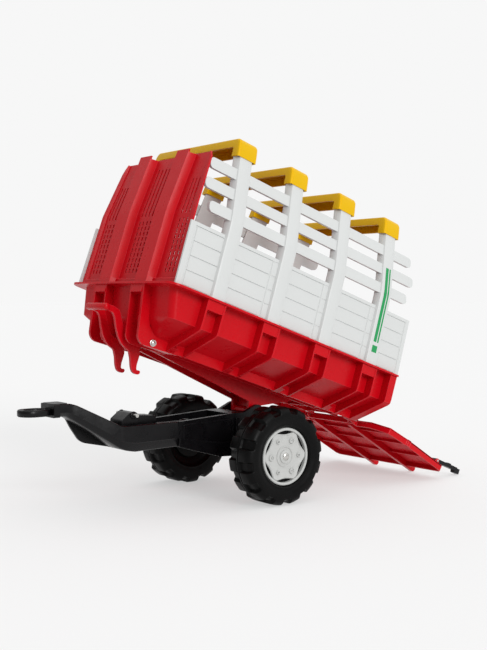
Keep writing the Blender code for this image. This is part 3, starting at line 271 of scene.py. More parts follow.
def zinc_plated_steel(name, colour):
    # Bright electroplated zinc with a faint warm passivation and drawn lines round the rod.
    return surface(name, colour, drift=0.08, drift_mm=9, grain_mm=1.2, grain_depth=0.00003,
                   rough=(0.2, 0.34), rough_mm=5, Metallic=1.0)


def green_printed_lacquer(name, colour):
    # A screen-printed stripe: thin, even and a little glossier than the post under it.
    return surface(name, colour, drift=0.03, grain_mm=1.5, grain_depth=0.00002, rough=(0.26, 0.34), IOR=1.5)


FINISHES = {
    # The second colour of each finish goes on the bevelled edges; for red, white, yellow and black it is a lighter
    # painted highlight.
    "red": (red_injection_moulded_polypropylene, ("tub", "tub_edge")),
    "white": (white_injection_moulded_polypropylene, ("panel", "panel_edge")),
    "yellow": (yellow_injection_moulded_polypropylene, ("hoop", "hoop_edge")),
    "black": (black_injection_moulded_polypropylene, ("chassis", "chassis_edge")),
    "tyre": (black_blow_moulded_polyethylene, ("tyre", "tyre")),
    "grey": (grey_injection_moulded_polypropylene, ("rim", "rim")),
    "steel": (zinc_plated_steel, ("steel", "steel")),
    "green": (green_printed_lacquer, ("stripe", "stripe")),
}


def finish_of(key):
    """The two materials of a finish: its faces, then its rounded edges, where most finishes carry a painted
    highlight.
    """
    make, colours = FINISHES[key]
    out = []
    for colour in colours:
        name = "%s_%s" % (make.__name__, colour)
        value = tuple(getattr(bpy.context.scene.wagon_colours, colour))
        out.append(bpy.data.materials.get(name) or make(name, value))
    return out


# ---- outlines ----
def arc(centre, radius, start, end, steps=6):
    """Points on an arc, in degrees from the first axis towards the second."""
    turns = [math.radians(start + (end - start) * i / steps) for i in range(steps + 1)]
    return [(centre[0] + radius * math.cos(t), centre[1] + radius * math.sin(t)) for t in turns]


def softened(points, radius, steps=3):
    """The same closed outline with each corner replaced by a short curve."""
    out = []
    for i, corner in enumerate(points):
        corner = Vector(corner)
        before = Vector(points[i - 1]) - corner
        after = Vector(points[(i + 1) % len(points)]) - corner
        reach = min(radius, before.length * 0.45, after.length * 0.45)
        start, end = corner + before.normalized() * reach, corner + after.normalized() * reach
        for k in range(steps + 1):
            t = k / steps
            out.append(tuple(start * (1 - t) ** 2 + corner * 2 * t * (1 - t) + end * t ** 2))
    return out


def mirrored(points):
    """A closed outline from its right half."""
    return points + [(-a, b) for a, b in reversed(points)]


def across(side, points):
    return [(side * a, b) for a, b in points]


def span(side, low, high):
    """A stretch across, on one side, as two rising values."""
    return sorted((side * low, side * high))


def rectangle(a, b, c, d):
    """The outline from one corner (a, b) to the opposite one (c, d)."""
    return [(a, b), (c, b), (c, d), (a, d)]


def ramp(value, low, high):
    """0 below low, 1 above high, and a smooth step between."""
    t = max(0.0, min(1.0, (value - low) / (high - low)))
    return t * t * (3 - 2 * t)


def along(points, value):
    """Straight-line reading of a table of (value, reading) pairs."""
    for (a, p), (b, q) in zip(points, points[1:]):
        if value <= b:
            return p + (q - p) * max(0.0, value - a) / (b - a)
    return points[-1][1]


# ---- bodies ----
def prism(work, outline, axis, low, high):
    """A straight body. Along x the outline is (y, z), along y it is (x, z), along z it is (x, y)."""
    def spot(a, b, c):
        return {"x": (c, a, b), "y": (a, c, b), "z": (a, b, c)}[axis]
    rings = [[spot(a, b, c) for a, b in outline] for c in (low, high)]
    loft(work, rings)


def bar(work, low, high):
    """A rectangular body between two corners."""
    prism(work, rectangle(low[0], low[1], high[0], high[1]), "z", low[2], high[2])


def loft(work, rings, round_again=False):
    """A skin over rings of points, each ring closed on itself."""
    made = [[work.verts.new(p) for p in ring] for ring in rings]
    count = len(made[0])
    pairs = list(zip(made, made[1:])) + ([(made[-1], made[0])] if round_again else [])
    for a, b in pairs:
        for i in range(count):
            j = (i + 1) % count
            work.faces.new((a[i], a[j], b[j], b[i]))
    if not round_again:
        work.faces.new(made[0])
        work.faces.new(made[-1])


def turned(work, profile, centre, steps=64, side=1):
    """A closed (radius, along) profile turned about a line along Y."""
    rings = []
    for k in range(steps):
        t = 2 * math.pi * k / steps
        rings.append([(centre[0] + r * math.cos(t), centre[1] + side * y, centre[2] + r * math.sin(t))
                      for r, y in profile])
    loft(work, rings, round_again=True)


def rod(work, start, end, radius, steps=20):
    """A round bar between two points, with a small chamfer at both ends."""
    start, end = Vector(start), Vector(end)
    line = (end - start).normalized()
    turn = line.to_track_quat("Z", "Y")
    chamfer = min(radius * 0.3, 0.001)
    rings = []
    for spot, size in ((start, radius - chamfer), (start + line * chamfer, radius),
                       (end - line * chamfer, radius), (end, radius - chamfer)):
        rings.append([spot + turn @ Vector((size * math.cos(t), size * math.sin(t), 0))
                      for t in (2 * math.pi * k / steps for k in range(steps))])
    loft(work, rings)


def sheet(work, columns, rows, spot, thickness, is_open=None):
    """A moulded sheet on a grid. spot(a, b, depth) gives a point; the cells that is_open names stay open."""
    layers = [[[work.verts.new(spot(a, b, depth)) for b in rows] for a in columns]
              for depth in (0.0, thickness)]
    solid = {}
    for i in range(len(columns) - 1):
        for j in range(len(rows) - 1):
            middle = ((columns[i] + columns[i + 1]) / 2, (rows[j] + rows[j + 1]) / 2)
            solid[i, j] = not (is_open and is_open(*middle))
    for (i, j), there in solid.items():
        if not there:
            continue
        corners = ((i, j), (i + 1, j), (i + 1, j + 1), (i, j + 1))
        work.faces.new([layers[0][a][b] for a, b in corners])
        work.faces.new([layers[1][a][b] for a, b in reversed(corners)])
        beside = ((i, j - 1), (i + 1, j), (i, j + 1), (i - 1, j))
        for k, cell in enumerate(beside):
            if not solid.get(cell, False):
                (a, b), (c, d) = corners[k], corners[(k + 1) % 4]
                work.faces.new((layers[0][a][b], layers[1][a][b], layers[1][c][d], layers[0][c][d]))
    bmesh.ops.delete(work, geom=[v for v in work.verts if not v.link_faces], context="VERTS")


def add_piece(name, work, finish, body, place=None, replaces=(), edge=None, angle=32.0):
    """Makes the mesh an object, rounds its edges, parents it to its body and hides the nodes it replaces."""
    bmesh.ops.recalc_face_normals(work, faces=work.faces)
    mesh = bpy.data.meshes.new(name)
    work.to_mesh(mesh)
    work.free()
    for material in finish_of(finish):
        mesh.materials.append(material)
    mesh.shade_smooth()
    piece = bpy.data.objects.new(name, mesh)
    bpy.context.scene.collection.objects.link(piece)
    piece.matrix_world = place or Matrix.Identity(4)
    round_edges(piece, edge, angle)
    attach(piece, body)
    if replaces:
        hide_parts(*replaces)
    return piece


def round_edges(piece, edge, angle):
    """Rounds the edges sharper than an angle, and gives the rounding the edge material, where most finishes carry
    a painted highlight.
    """
    if edge == 0.0:
        piece.data.set_sharp_from_angle(angle=math.radians(angle))
        return
    modifier = piece.modifiers.new("rounded_edges", "BEVEL")
    modifier.width = bpy.context.scene.wagon_sizes.edge if edge is None else edge
    modifier.segments = 2
    modifier.limit_method = "ANGLE"
    modifier.angle_limit = math.radians(angle)
    modifier.harden_normals = True
    modifier.material = 1


def dress(node, finish, edge=None, angle=32.0):
    """Gives a carried-over node its materials and rounded edges."""
    item = frame["nodes"][node]
    item.data.materials.clear()
    for material in finish_of(finish):
        item.data.materials.append(material)
    item.data.shade_smooth()
    round_edges(item, edge, angle)


# ---- tub ----
WALL_V = 0.196             # half the width over the bays
SHOULDER_W = -0.069
FLOOR_V = 0.106
FLOOR_W = -0.108
FRONT_U = 0.0108
FRONT_LEAN = 0.228         # how far the front leans rearwards for each metre down
CORNER = 0.018             # front wall into sides, in plan
RIB_V = 0.219
RIB_FOOT_V = 0.112
RIB_FOOT_W = -0.128
PIVOT_HALF = 0.029         # half the width of the pivot's sleeve
KNUCKLE_V = 0.098
KNUCKLE_HALF = 0.004
KNUCKLE_R = 0.0065


def bay_path(half, front, corner, rear):
    """Plan of the bays at one height, from the rear left round the front to the rear right."""
    quarter = arc((front + corner, half - corner), corner, 90, 180, 8)
    return [(rear, half)] + quarter + [(a, -b) for a, b in reversed(quarter)] + [(rear, -half)]


def bay_levels(inset):
    """(w, half width, front) from the rim down to the floor, moved inwards by the wall."""
    slope = (WALL_V - FLOOR_V) / (SHOULDER_W - FLOOR_W)
    out = []
    for w in (-0.001, -0.035, SHOULDER_W + 0.004, SHOULDER_W, -0.0735, -0.0790, -0.0950, -0.1050, FLOOR_W):
        half = WALL_V if w > SHOULDER_W else FLOOR_V + slope * (w - FLOOR_W)
        front = FRONT_U - FRONT_LEAN * w + 0.62 * max(0.0, -0.0760 - w)
        out.append((w + inset * (w < -0.1), half - inset, front + inset))
    return out


def add_bin(work, wall):
    """The thin-walled body of the tub: upright sides, slanted lower sides, floor and curved front."""
    shells = []
    for inset in (0.0, wall):
        rings = []
        for w, half, front in bay_levels(inset):
            rings.append([work.verts.new((u, v, w)) for u, v in bay_path(half, front, CORNER - inset, REAR)])
        shells.append(rings)
    for rings in shells:
        for a, b in zip(rings, rings[1:]):
            for i in range(len(a) - 1):
                work.faces.new((a[i], a[i + 1], b[i + 1], b[i]))
        floor = rings[-1]
        count = len(floor)
        for i in range(count // 2 - 1):
            work.faces.new((floor[i], floor[i + 1], floor[count - 2 - i], floor[count - 1 - i]))
    outer, inner = shells
    for i in range(len(outer[0]) - 1):
        work.faces.new((outer[0][i], outer[0][i + 1], inner[0][i + 1], inner[0][i]))
    for end in (0, -1):
        for a, b, c, d in zip(outer, outer[1:], inner, inner[1:]):
            work.faces.new((a[end], b[end], d[end], c[end]))
    work.faces.new((outer[-1][0], outer[-1][-1], inner[-1][-1], inner[-1][0]))


def add_rim(work, sizes):
    """The flange round the top of the bays, with its rounded front corners."""
    outer = bay_path(RIM_HALF, -RIM_LIP, 0.028, REAR)
    inner = bay_path(WALL_V - sizes.wall, FRONT_U + sizes.wall, CORNER - sizes.wall, REAR)
    layers = [[[work.verts.new((u, v, w)) for u, v in path] for path in (outer, inner)]
              for w in (0.0, -sizes.rim_lip)]
    for path in range(len(outer) - 1):
        for low in layers:
            work.faces.new((low[0][path], low[0][path + 1], low[1][path + 1], low[1][path]))
        for edge in (0, 1):
            work.faces.new((layers[0][edge][path], layers[0][edge][path + 1],
                            layers[1][edge][path + 1], layers[1][edge][path]))
    for end in (0, -1):
        work.faces.new((layers[0][0][end], layers[0][1][end], layers[1][1][end], layers[1][0][end]))


def side_rib_outline():
    """A side rib: its outer edge follows the bay, its inner edge is buried in the wall."""
    outer = [(RIB_FOOT_V, RIB_FOOT_W), (RIB_V - 0.006, SHOULDER_W - 0.009),
             (RIB_V - 0.001, SHOULDER_W - 0.004), (RIB_V, SHOULDER_W + 0.006), (RIB_V, -0.003)]
    inner = [(WALL_V - 0.002, -0.003), (WALL_V - 0.002, SHOULDER_W), (FLOOR_V, FLOOR_W + 0.001),
             (FLOOR_V - 0.004, FLOOR_W + 0.001), (FLOOR_V - 0.004, RIB_FOOT_W)]
    return outer + inner


def add_tub_ribs(work, sizes):
    """Rib pairs under each post with their sockets, the rear border, the skirts and the front ribs."""
    half_rib = sizes.rib / 2
    reach = (HOOPS[0][1].x - HOOPS[0][0].x) / 2 - sizes.hoop_wall - half_rib
    rib = side_rib_outline()
    for side in (1, -1):
        for post in POSTS:
            for place in (post - reach, post + reach):
                prism(work, across(side, rib), "x", place - half_rib, place + half_rib)
            socket = rectangle(WALL_V - 0.001, -0.0275, RIB_V - 0.0012, -0.004)
            prism(work, across(side, socket), "x", post - reach, post + reach)
            foot = [(FLOOR_V - 0.002, RIB_FOOT_W + 0.0005), (RIB_FOOT_V + 0.004, RIB_FOOT_W + 0.0022),
                    (RIB_FOOT_V + 0.018, RIB_FOOT_W + 0.0100), (FLOOR_V + 0.004, FLOOR_W + 0.001)]
            prism(work, across(side, foot), "x", post - reach - 0.001, post - reach + 0.016)
        prism(work, across(side, rib), "x", REAR - 0.022, REAR - 0.0004)
        skirt = rectangle(RIB_FOOT_V - 0.005, RIB_FOOT_W + 0.0008, RIB_FOOT_V - 0.001, FLOOR_W + 0.002)
        prism(work, across(side, skirt), "x", 0.110, REAR - 0.001)
        add_front_ribs(work, side)
    for place in POSTS + [0.13, REAR - 0.03]:
        prism(work, mirrored([(FLOOR_V - 0.002, RIB_FOOT_W + 0.006), (FLOOR_V - 0.002, FLOOR_W + 0.001)]),
              "x", place - half_rib, place + half_rib)
    for v in (-0.046, 0.046):
        bar(work, (0.05, v - 0.0014, RIB_FOOT_W + 0.004), (REAR - 0.004, v + 0.0014, FLOOR_W + 0.001))


def add_front_ribs(work, side):
    """The two webs that run down the front and curl under the floor, with the socket between them."""
    front = -RIM_LIP + 0.004
    curve = arc((0.0360, -0.1080), 0.024, 196, 268, 10)
    web = [(front, -0.003), *curve, (0.100, -0.1295), (0.125, RIB_FOOT_W - 0.0006), (0.125, FLOOR_W + 0.002),
           (0.060, FLOOR_W + 0.004), (0.036, -0.088), (FRONT_U + 0.002, -0.003)]
    for low, high in ((0.053, 0.057), (0.1015, 0.1098)):
        prism(work, web, "y", *span(side, low, high))
    low, high = span(side, 0.0565, 0.102)
    bar(work, (front + 0.001, low, -0.022), (FRONT_U + 0.004, high, -0.004))
    belt = rectangle(0.050, RIB_FOOT_W + 0.001, 0.125, RIB_FOOT_W + 0.0035)
    prism(work, belt, "y", low, high)


def add_tub_hinges(work):
    """Two keels under the floor that deepen into the pivot lug, and the two knuckles at the rear."""
    lug = [(0.080, FLOOR_W + 0.002), (0.080, RIB_FOOT_W + 0.004), (PIVOT.x - 0.020, PIVOT.z + 0.021)]
    lug += arc((PIVOT.x, PIVOT.z), 0.0135, 190, 350, 14)
    lug += [(PIVOT.x + 0.020, PIVOT.z + 0.021), (PIVOT.x + 0.110, RIB_FOOT_W + 0.004),
            (PIVOT.x + 0.110, FLOOR_W + 0.002)]
    for side in (1, -1):
        prism(work, lug, "y", *span(side, PIVOT_HALF - 0.001, PIVOT_HALF + 0.007))
    sleeve = arc((PIVOT.x, PIVOT.z), 0.0115, 0, 345, 23)
    prism(work, sleeve, "y", -PIVOT_HALF, PIVOT_HALF)
    spine = rectangle(PIVOT.x - 0.003, PIVOT.z + 0.009, PIVOT.x + 0.003, FLOOR_W + 0.002)
    prism(work, spine, "y", -PIVOT_HALF, PIVOT_HALF)
    for side in (1, -1):
        knuckle = [(REAR - 0.030, FLOOR_W - 0.001), (REAR - 0.030, HINGE.z - 0.003)]
        knuckle += arc((HINGE.x, HINGE.z), KNUCKLE_R, -90, 90, 10) + [(REAR - 0.004, FLOOR_W - 0.001)]
        prism(work, knuckle, "y", side * KNUCKLE_V - KNUCKLE_HALF, side * KNUCKLE_V + KNUCKLE_HALF)


def build_tub(context):
    sizes = context.scene.wagon_sizes
    work = bmesh.new()
    add_bin(work, sizes.wall)
    add_rim(work, sizes)
    add_tub_ribs(work, sizes)
    add_tub_hinges(work)
    add_piece("tub_moulding", work, "red", "tub", TUB, ("tub",))


# ---- side panels ----
POST_LINE = ((0.0, 0.2186), (0.180, 0.2125), (PANEL_HIGH.z, 0.1747))
POST_DEPTH = 0.018
POST_BASE = 0.025          # half the width of a post at its foot on the boards
BOARD_TOP = 0.144
BOARD_SET = 0.007          # the boards' face behind the posts' face
BOARD_ENDS = (0.0035, 0.7045)
BOARD_GROOVES = (0.003, 0.036, 0.069, 0.102, 0.135)
SLAT_ROWS = ((0.289, 0.024, 0.684), (0.240, 0.018, 0.696), (0.190, 0.037, 0.677))
SLAT_HEIGHT = 0.026


def post_v(w):
    """How far out the posts' face is at a height."""
    return along(POST_LINE, w)


def add_boards(work, side, sizes):
    """The boarded lower half: a sheet with grooves between the boards and at each bay's end."""
    width, depth = sizes.groove, sizes.groove_depth
    ends = [BOARD_ENDS[0] + 0.017, *(post - POST_BASE - 0.013 for post in POSTS[1:]), BOARD_ENDS[1] - 0.014]
    starts = [POSTS[0] - POST_BASE - 0.004] + [post + POST_BASE - 0.004 for post in POSTS]
    spans = [(ends[0], POSTS[0])] + list(zip(POSTS, ends[1:]))
    soft = width * 0.35
    marks = {BOARD_ENDS[0], BOARD_ENDS[1], *starts}
    for end in ends:
        marks |= {end - width, end - soft, end + soft, end + width}
    rows = {0.0015, BOARD_TOP}
    for w in BOARD_GROOVES:
        rows |= {w - width / 2, w - soft / 2, w + soft / 2, w + width / 2}
    low, high = BOARD_GROOVES[0], BOARD_GROOVES[-1]

    def relief(u, w):
        in_bay = any(a - soft <= u <= b + soft for a, b in spans)
        level = in_bay and any(abs(w - row) <= soft * 0.6 for row in BOARD_GROOVES)
        upright = any(abs(u - end) <= soft * 1.01 for end in ends) and low <= w <= high + soft
        return depth if level or upright else 0.0

    def spot(u, w, back):
        return (u, side * (post_v(w) - BOARD_SET - back - (0.0 if back else relief(u, w))), w)

    sheet(work, sorted(marks), sorted(rows), spot, 0.005)


def add_post(work, side, place, sizes):
    """A post with slanted flanks and the bend above the boards."""
    base, face = POST_BASE, sizes.post_face
    section = [(-base, POST_DEPTH), (-base, POST_DEPTH - 0.003), (-face - 0.0012, 0.0012),
               (-face + 0.0012, 0.0), (face - 0.0012, 0.0), (face + 0.0012, 0.0012),
               (base, POST_DEPTH - 0.003), (base, POST_DEPTH)]
    bend = POST_LINE[1][0]
    top = HOOPS[0][0].z
    rings = []
    for w in (0.0006, bend - 0.008, bend - 0.003, bend + 0.003, bend + 0.008, top + 0.006):
        out = post_v(w) if abs(w - bend) > 0.004 else post_v(w) - 0.0005
        rings.append([(place + a, side * (out - b), w) for a, b in section])
    loft(work, rings)
    crown = [[(place + a, side * (post_v(top) - b), w) for a, b in rectangle(-0.019, 0.0045, 0.019, 0.0125)]
             for w in (top - 0.02, top + 0.02)]
    loft(work, crown)


def add_slat(work, side, middle, start, end):
    """A flat bar with rounded ends that leans with the posts."""
    low, high, set_in, thick = middle - SLAT_HEIGHT / 2, middle + SLAT_HEIGHT / 2, 0.004, 0.009
    outline = softened(rectangle(start, low, end, high), 0.011, 5)
    rings = [[(u, side * (post_v(w) - set_in - depth), w) for u, w in outline] for depth in (0.0, thick)]
    loft(work, rings)


def build_side_panels(context):
    sizes = context.scene.wagon_sizes
    for name, side in SIDES:
        work = bmesh.new()
        add_boards(work, side, sizes)
        for place in POSTS:
            add_post(work, side, place, sizes)
        for row in SLAT_ROWS:
            add_slat(work, side, *row)
        add_piece(name + "_side_moulding", work, "white", "tub", TUB, (name + "_side_panel",), 0.0012)
        add_stripes(name, side)


def add_stripes(name, side):
    """Plain printed stripes and a small square up the rear post, laid 0.2 mm proud of its face."""
    work = bmesh.new()
    for start, end, low, high in ((0.056, 0.246, -0.0085, 0.0010), (0.056, 0.246, 0.0040, 0.0085),
                                  (0.030, 0.047, -0.0085, 0.0085)):
        bend = (POST_LINE[1][0] - 0.003, POST_LINE[1][0] + 0.003)
        stations = [start, *(w for w in bend if start < w < end), end]
        rings = [[(POSTS[-1] + a, side * (post_v(w) + out), w)
                  for a, out in rectangle(low, -0.0012, high, 0.0002)] for w in stations]
        loft(work, rings)
    add_piece(name + "_post_stripes", work, "green", "tub", TUB, edge=0.0)


# ---- hoops ----
def build_hoops(context):
    wall = context.scene.wagon_sizes.hoop_wall
    for index, (low, high) in enumerate(HOOPS):
        top, foot, half = high.z, low.z, high.y
        lean = 0.0022
        inner_half = half - 0.025
        outer = [(half, foot), (half - lean, foot + 0.014)] + arc((half - 0.022, top - 0.016), 0.0165, 18,
                                                                  84, 7)
        outer[-1] = (outer[-1][0], top)
        inner = [(inner_half, foot), (inner_half - 0.001, top - 0.024), (inner_half - 0.005, top - 0.021)]
        skin = [(a - wall, b) for a, b in outer[:2]]
        skin += arc((half - 0.022, top - 0.016), 0.0165 - wall, 18, 84, 7)
        skin[-1] = (skin[-1][0], top - wall)
        work = bmesh.new()
        prism(work, mirrored(outer) + skin_back(skin), "x", low.x + 0.0045, high.x - 0.0045)
        for end, way in ((low.x, 1), (high.x, -1)):
            rings = []
            for depth, inset in ((0.0, 0.0042), (0.0006, 0.0026), (0.0018, 0.0011), (0.0046, 0.0002)):
                web = [(a - inset, b - inset * (b > foot)) for a, b in outer]
                rings.append([(end + way * depth, a, b) for a, b in mirrored(list(reversed(inner)) + web)])
            loft(work, rings)
        for side in (1, -1):
            cheek = rectangle(inner_half, foot + 0.0005, inner_half + wall, top - 0.010)
            prism(work, across(side, cheek), "x", low.x + 0.0020, high.x - 0.0020)
        add_piece("hoop_%d_moulding" % (index + 1), work, "yellow", "tub", TUB,
                  ("hoop_%d" % (index + 1),), 0.0006)


def skin_back(skin):
    """The inside of the hoop's outer skin, walked back from the left foot to the right one."""
    return [(-a, b) for a, b in skin] + list(reversed(skin))


# ---- front wall ----
WALL_HIGH = local_box("front_wall", TUB)[1]
WALL_KINK = 0.176
WALL_TOP = 0.315
FRONT_FOOT = 0.009         # the wall's face behind the front of the boards
FRONT_TOP_LEAN = 0.013     # how far it leans back above the bend
PILASTER = 0.079
PILASTER_HALF = 0.027
SHORT_SLOTS = [(0.030 + 0.0128 * i, 0.0395 + 0.0128 * i) for i in range(10)]
LONG_SLOT = (0.166, 0.288)


def build_front_wall(context):
    sizes = context.scene.wagon_sizes
    edge_v = WALL_HIGH.y
    raised = 0.012
    step = 0.0022
    pilaster = (PILASTER - PILASTER_HALF, PILASTER + PILASTER_HALF)
    frame_in = edge_v - 0.013
    columns = {0.0, edge_v, edge_v - 0.0125, frame_in, frame_in - step}
    for base in pilaster:
        columns |= {base - 0.0028, base + 0.0028}
    columns |= {PILASTER - 0.008, PILASTER + 0.008, pilaster[0] - 0.007, pilaster[1] + 0.007}
    slots = [(i - 1.5) * sizes.slot_pitch for i in (2, 3)]
    slots += [0.158 + (i - 1) * sizes.slot_pitch for i in range(3)]
    for v in slots:
        columns |= {v - sizes.slot / 2, v + sizes.slot / 2}
    columns = sorted(columns)
    columns = [-a for a in reversed(columns[1:])] + columns
    rows = [0.0006, 0.014, 0.014 + step, *(w for pair in SHORT_SLOTS for w in pair), LONG_SLOT[0], WALL_KINK,
            LONG_SLOT[1] - 0.036, LONG_SLOT[1], WALL_TOP, WALL_TOP + 0.005, WALL_HIGH.z]

    def inward(w):
        return along(((0.0, 0.0), (0.180, 0.0040), (WALL_TOP, 0.0220)), min(w, WALL_TOP))

    def relief(v, w):
        """How far ahead of the panels the surface stands."""
        v = abs(v)
        out = raised * min(ramp(v, pilaster[0] - 0.0029, pilaster[0] + 0.0028),
                           1 - ramp(v, pilaster[1] - 0.0028, pilaster[1] + 0.0029))
        sunk = 0.0045 * (v < frame_in - step * 0.5) * (w > 0.015)
        beside = v < pilaster[0] - 0.006 or v > pilaster[1] + 0.006
        return out - sunk * beside

    def spot(v, w, back):
        share = max(0.0, (abs(v) - 0.112) / (edge_v - 0.112))
        place = math.copysign(abs(v) - inward(w) * share, v)
        lean = max(0.0, w - WALL_KINK) * (FRONT_TOP_LEAN / (WALL_TOP - WALL_KINK))
        if w >= WALL_TOP and abs(v) > edge_v - 0.001:
            w -= 0.012
        return (FRONT_FOOT + lean + back - relief(v, w), place, w)

    def is_open(v, w):
        v = abs(v)
        if w > WALL_TOP and not pilaster[0] < v < pilaster[1]:
            return True
        if not any(abs(v - slot) < sizes.slot / 2 for slot in slots):
            return False
        high = LONG_SLOT[1] if v < 0.1 else LONG_SLOT[1] - 0.036
        short = any(a < w < b for a, b in SHORT_SLOTS)
        return short or LONG_SLOT[0] < w < high

    work = bmesh.new()
    sheet(work, columns, rows, spot, 0.0035, is_open)
    add_piece("front_wall_moulding", work, "red", "tub", TUB, ("front_wall",), 0.0008, 28)


# ---- front latch ----
HOOK_V = 0.0335


def build_front_latch(context):
    work = bmesh.new()
    arm = [(-0.045, -0.0625), (-0.025, -0.0620), (-0.0133, -0.0641), (-0.0053, -0.0674), (0.0036, -0.0812),
           (0.0159, -0.1011), (0.0287, -0.1150), (0.0460, -0.1200), (0.0580, -0.1180), (0.0680, -0.1260),
           (0.0750, -0.1447), (0.0745, -0.1700), (0.0768, -0.1790), (0.0805, -0.1802), (0.0845, -0.1787),
           (0.0880, -0.1805), (0.0885, -0.1850), (0.0850, -0.1888), (0.0770, -0.1900), (0.0680, -0.1870),
           (0.0610, -0.1765), (0.0545, -0.1600), (0.0450, -0.1445), (0.0323, -0.1412), (0.0206, -0.1353),
           (0.0080, -0.1226), (-0.0036, -0.1049), (-0.0126, -0.0865), (-0.0206, -0.0765), (-0.0330, -0.0755),
           (-0.0450, -0.0770)]
    local = softened([(a - LEVER_AXIS.x, b - LEVER_AXIS.z) for a, b in arm], 0.004, 2)
    for side in (1, -1):
        prism(work, local, "y", side * HOOK_V - 0.004, side * HOOK_V + 0.004)
    low = (-0.0500 - LEVER_AXIS.x, -0.0775 - LEVER_AXIS.z)
    high = (-0.0350 - LEVER_AXIS.x, -0.0620 - LEVER_AXIS.z)
    grip = softened(rectangle(*low, *high), 0.0060, 4)
    rings = []
    for v, shrink in ((-0.045, 0.6), (-0.0435, 0.85), (-0.040, 1.0), (0.040, 1.0), (0.0435, 0.85),
                      (0.045, 0.6)):
        middle = ((low[0] + high[0]) / 2, (low[1] + high[1]) / 2)
        rings.append([(middle[0] + (a - middle[0]) * shrink, v, middle[1] + (b - middle[1]) * shrink)
                      for a, b in grip])
    loft(work, rings)
    rod(work, (0, -HOOK_V, 0), (0, HOOK_V, 0), 0.0075, 28)
    add_piece("front_latch_moulding", work, "red", "front_latch", LEVER, ("front_latch",), 0.0011, 40)


# ---- tailgate ----
GATE_HIGH = local_box("tailgate", GATE)[1]
GATE_INNER = 0.0085        # the skin's inner face, from the hinge line
GATE_SKIN = 0.004
GATE_TIP = 0.2575
SKID_V = 0.070
GATE_HALF = ((0.004, 0.108), (0.040, 0.190), (0.100, 0.199), (0.103, 0.2025), (0.112, 0.2025),
             (0.115, 0.200), (0.2495, 0.200), (GATE_TIP, 0.191))


KNUCKLE_ROOM = ((0.004, 0.0928), (0.0180, 0.0928), (0.0180, 0.1399))    # clear of the tub's knuckles


def build_tailgate(context):
    sizes = context.scene.wagon_sizes
    work = bmesh.new()
    back = GATE_INNER - 0.016
    edge = list(KNUCKLE_ROOM + GATE_HALF[1:])
    outline = edge + [(x, -y) for x, y in reversed(edge)]
    prism(work, outline, "z", GATE_INNER - GATE_SKIN, GATE_INNER)
    shift = (0.004, 0.004, 0.004, *(0.0,) * (len(edge) - 4), -0.004)
    inset = [(x + dx, y - 0.004) for (x, y), dx in zip(edge, shift)]
    inset += [(x, -y) for x, y in reversed(inset)]
    rings = [[(x, y, z) for x, y in path] for path, z in
             ((outline, GATE_INNER - 0.0003), (outline, back), (inset, back), (inset, GATE_INNER - 0.0003))]
    loft(work, rings, round_again=True)
    for side in (1, -1):
        skid = [(0.010, GATE_INNER - 0.001), (0.006, back + 0.006), (0.014, back - 0.003)]
        skid += arc((GATE_HIGH.x - 0.0085, back + 0.0055), 0.0085, -90, 90, 10)
        prism(work, skid, "y", side * SKID_V - 0.006, side * SKID_V + 0.006)
        knuckle = arc((0, 0), KNUCKLE_R, 90, 270, 10) + [(0.010, -KNUCKLE_R), (0.010, KNUCKLE_R)]
        for v in (0.0775, 0.0905):
            prism(work, knuckle, "y", side * v - 0.0025, side * v + 0.0025)
    for x in (0.052, 0.108, 0.178):
        reach = along(GATE_HALF, x) - 0.002
        prism(work, rectangle(x - 0.0016, back + 0.004, x + 0.0016, GATE_INNER - 0.001), "y", -reach, reach)
    add_planks(work, sizes.plank)
    for side in (1, -1):
        middle = local_latch().y + side * 0.0105
        cheek = [(local_latch().x - 0.010, GATE_INNER - 0.001),
                 (local_latch().x + 0.010, GATE_INNER - 0.001)]
        cheek += arc((local_latch().x, local_latch().z), 0.0055, 0, 180, 10)
        prism(work, cheek, "y", middle - 0.002, middle + 0.002)
    add_piece("tailgate_moulding", work, "red", "tailgate", GATE, ("tailgate",), 0.0009)


def local_latch():
    """The latch's pivot in the tailgate's frame."""
    return GATE.inverted() @ Vector(joint("tailgate_latch_swing")["pos_m"])


def add_planks(work, pitch):
    """Fine planks on the outer face, cut short where the tailgate narrows to its hinge."""
    count = int(0.192 / pitch)
    for k in range(-count, count + 1):
        y = k * pitch
        start = 0.014
        while along(GATE_HALF, start) < abs(y) + 0.008:
            start += 0.002
        if abs(abs(y) - SKID_V) < 0.009:
            continue
        bar(work, (start, y - pitch * 0.38, GATE_INNER - GATE_SKIN - 0.0012),
            (GATE_TIP - 0.010, y + pitch * 0.38, GATE_INNER - GATE_SKIN + 0.0004))


def build_tailgate_latch(context):
    work = bmesh.new()
    half, length = 0.0055, 0.098
    outline = arc((0, 0), half, 90, 270, 8) + [(0.030, -half), (0.030, -0.004), (length - 0.020, -0.004),
              (length - 0.018, -0.010), (length, -0.010), (length, 0.004), (0.062, 0.004), (0.060, 0.008),
              (0.048, 0.008), (0.046, half)]
    prism(work, outline, "y", -0.007, 0.007)
    for k in range(4):
        x = 0.066 + 0.0062 * k
        prism(work, softened(rectangle(x, 0.003, x + 0.0032, 0.0062), 0.001, 2), "y", -0.0062, 0.0062)
    for side in (1, -1):
        prism(work, rectangle(0.008, -0.0035, 0.042, 0.0035), "y", side * 0.0070 - 0.0006,
              side * 0.0070 + 0.0006)
    add_piece("tailgate_latch_moulding", work, "black", "tailgate_latch", LATCH, ("tailgate_latch",), 0.0008)


# ---- wheels ----
def about_axle(radius, turn, y):
    """The point at a radius and a turn round the axle's line."""
    return (AXLE.x + radius * math.cos(turn), y, AXLE.z + radius * math.sin(turn))


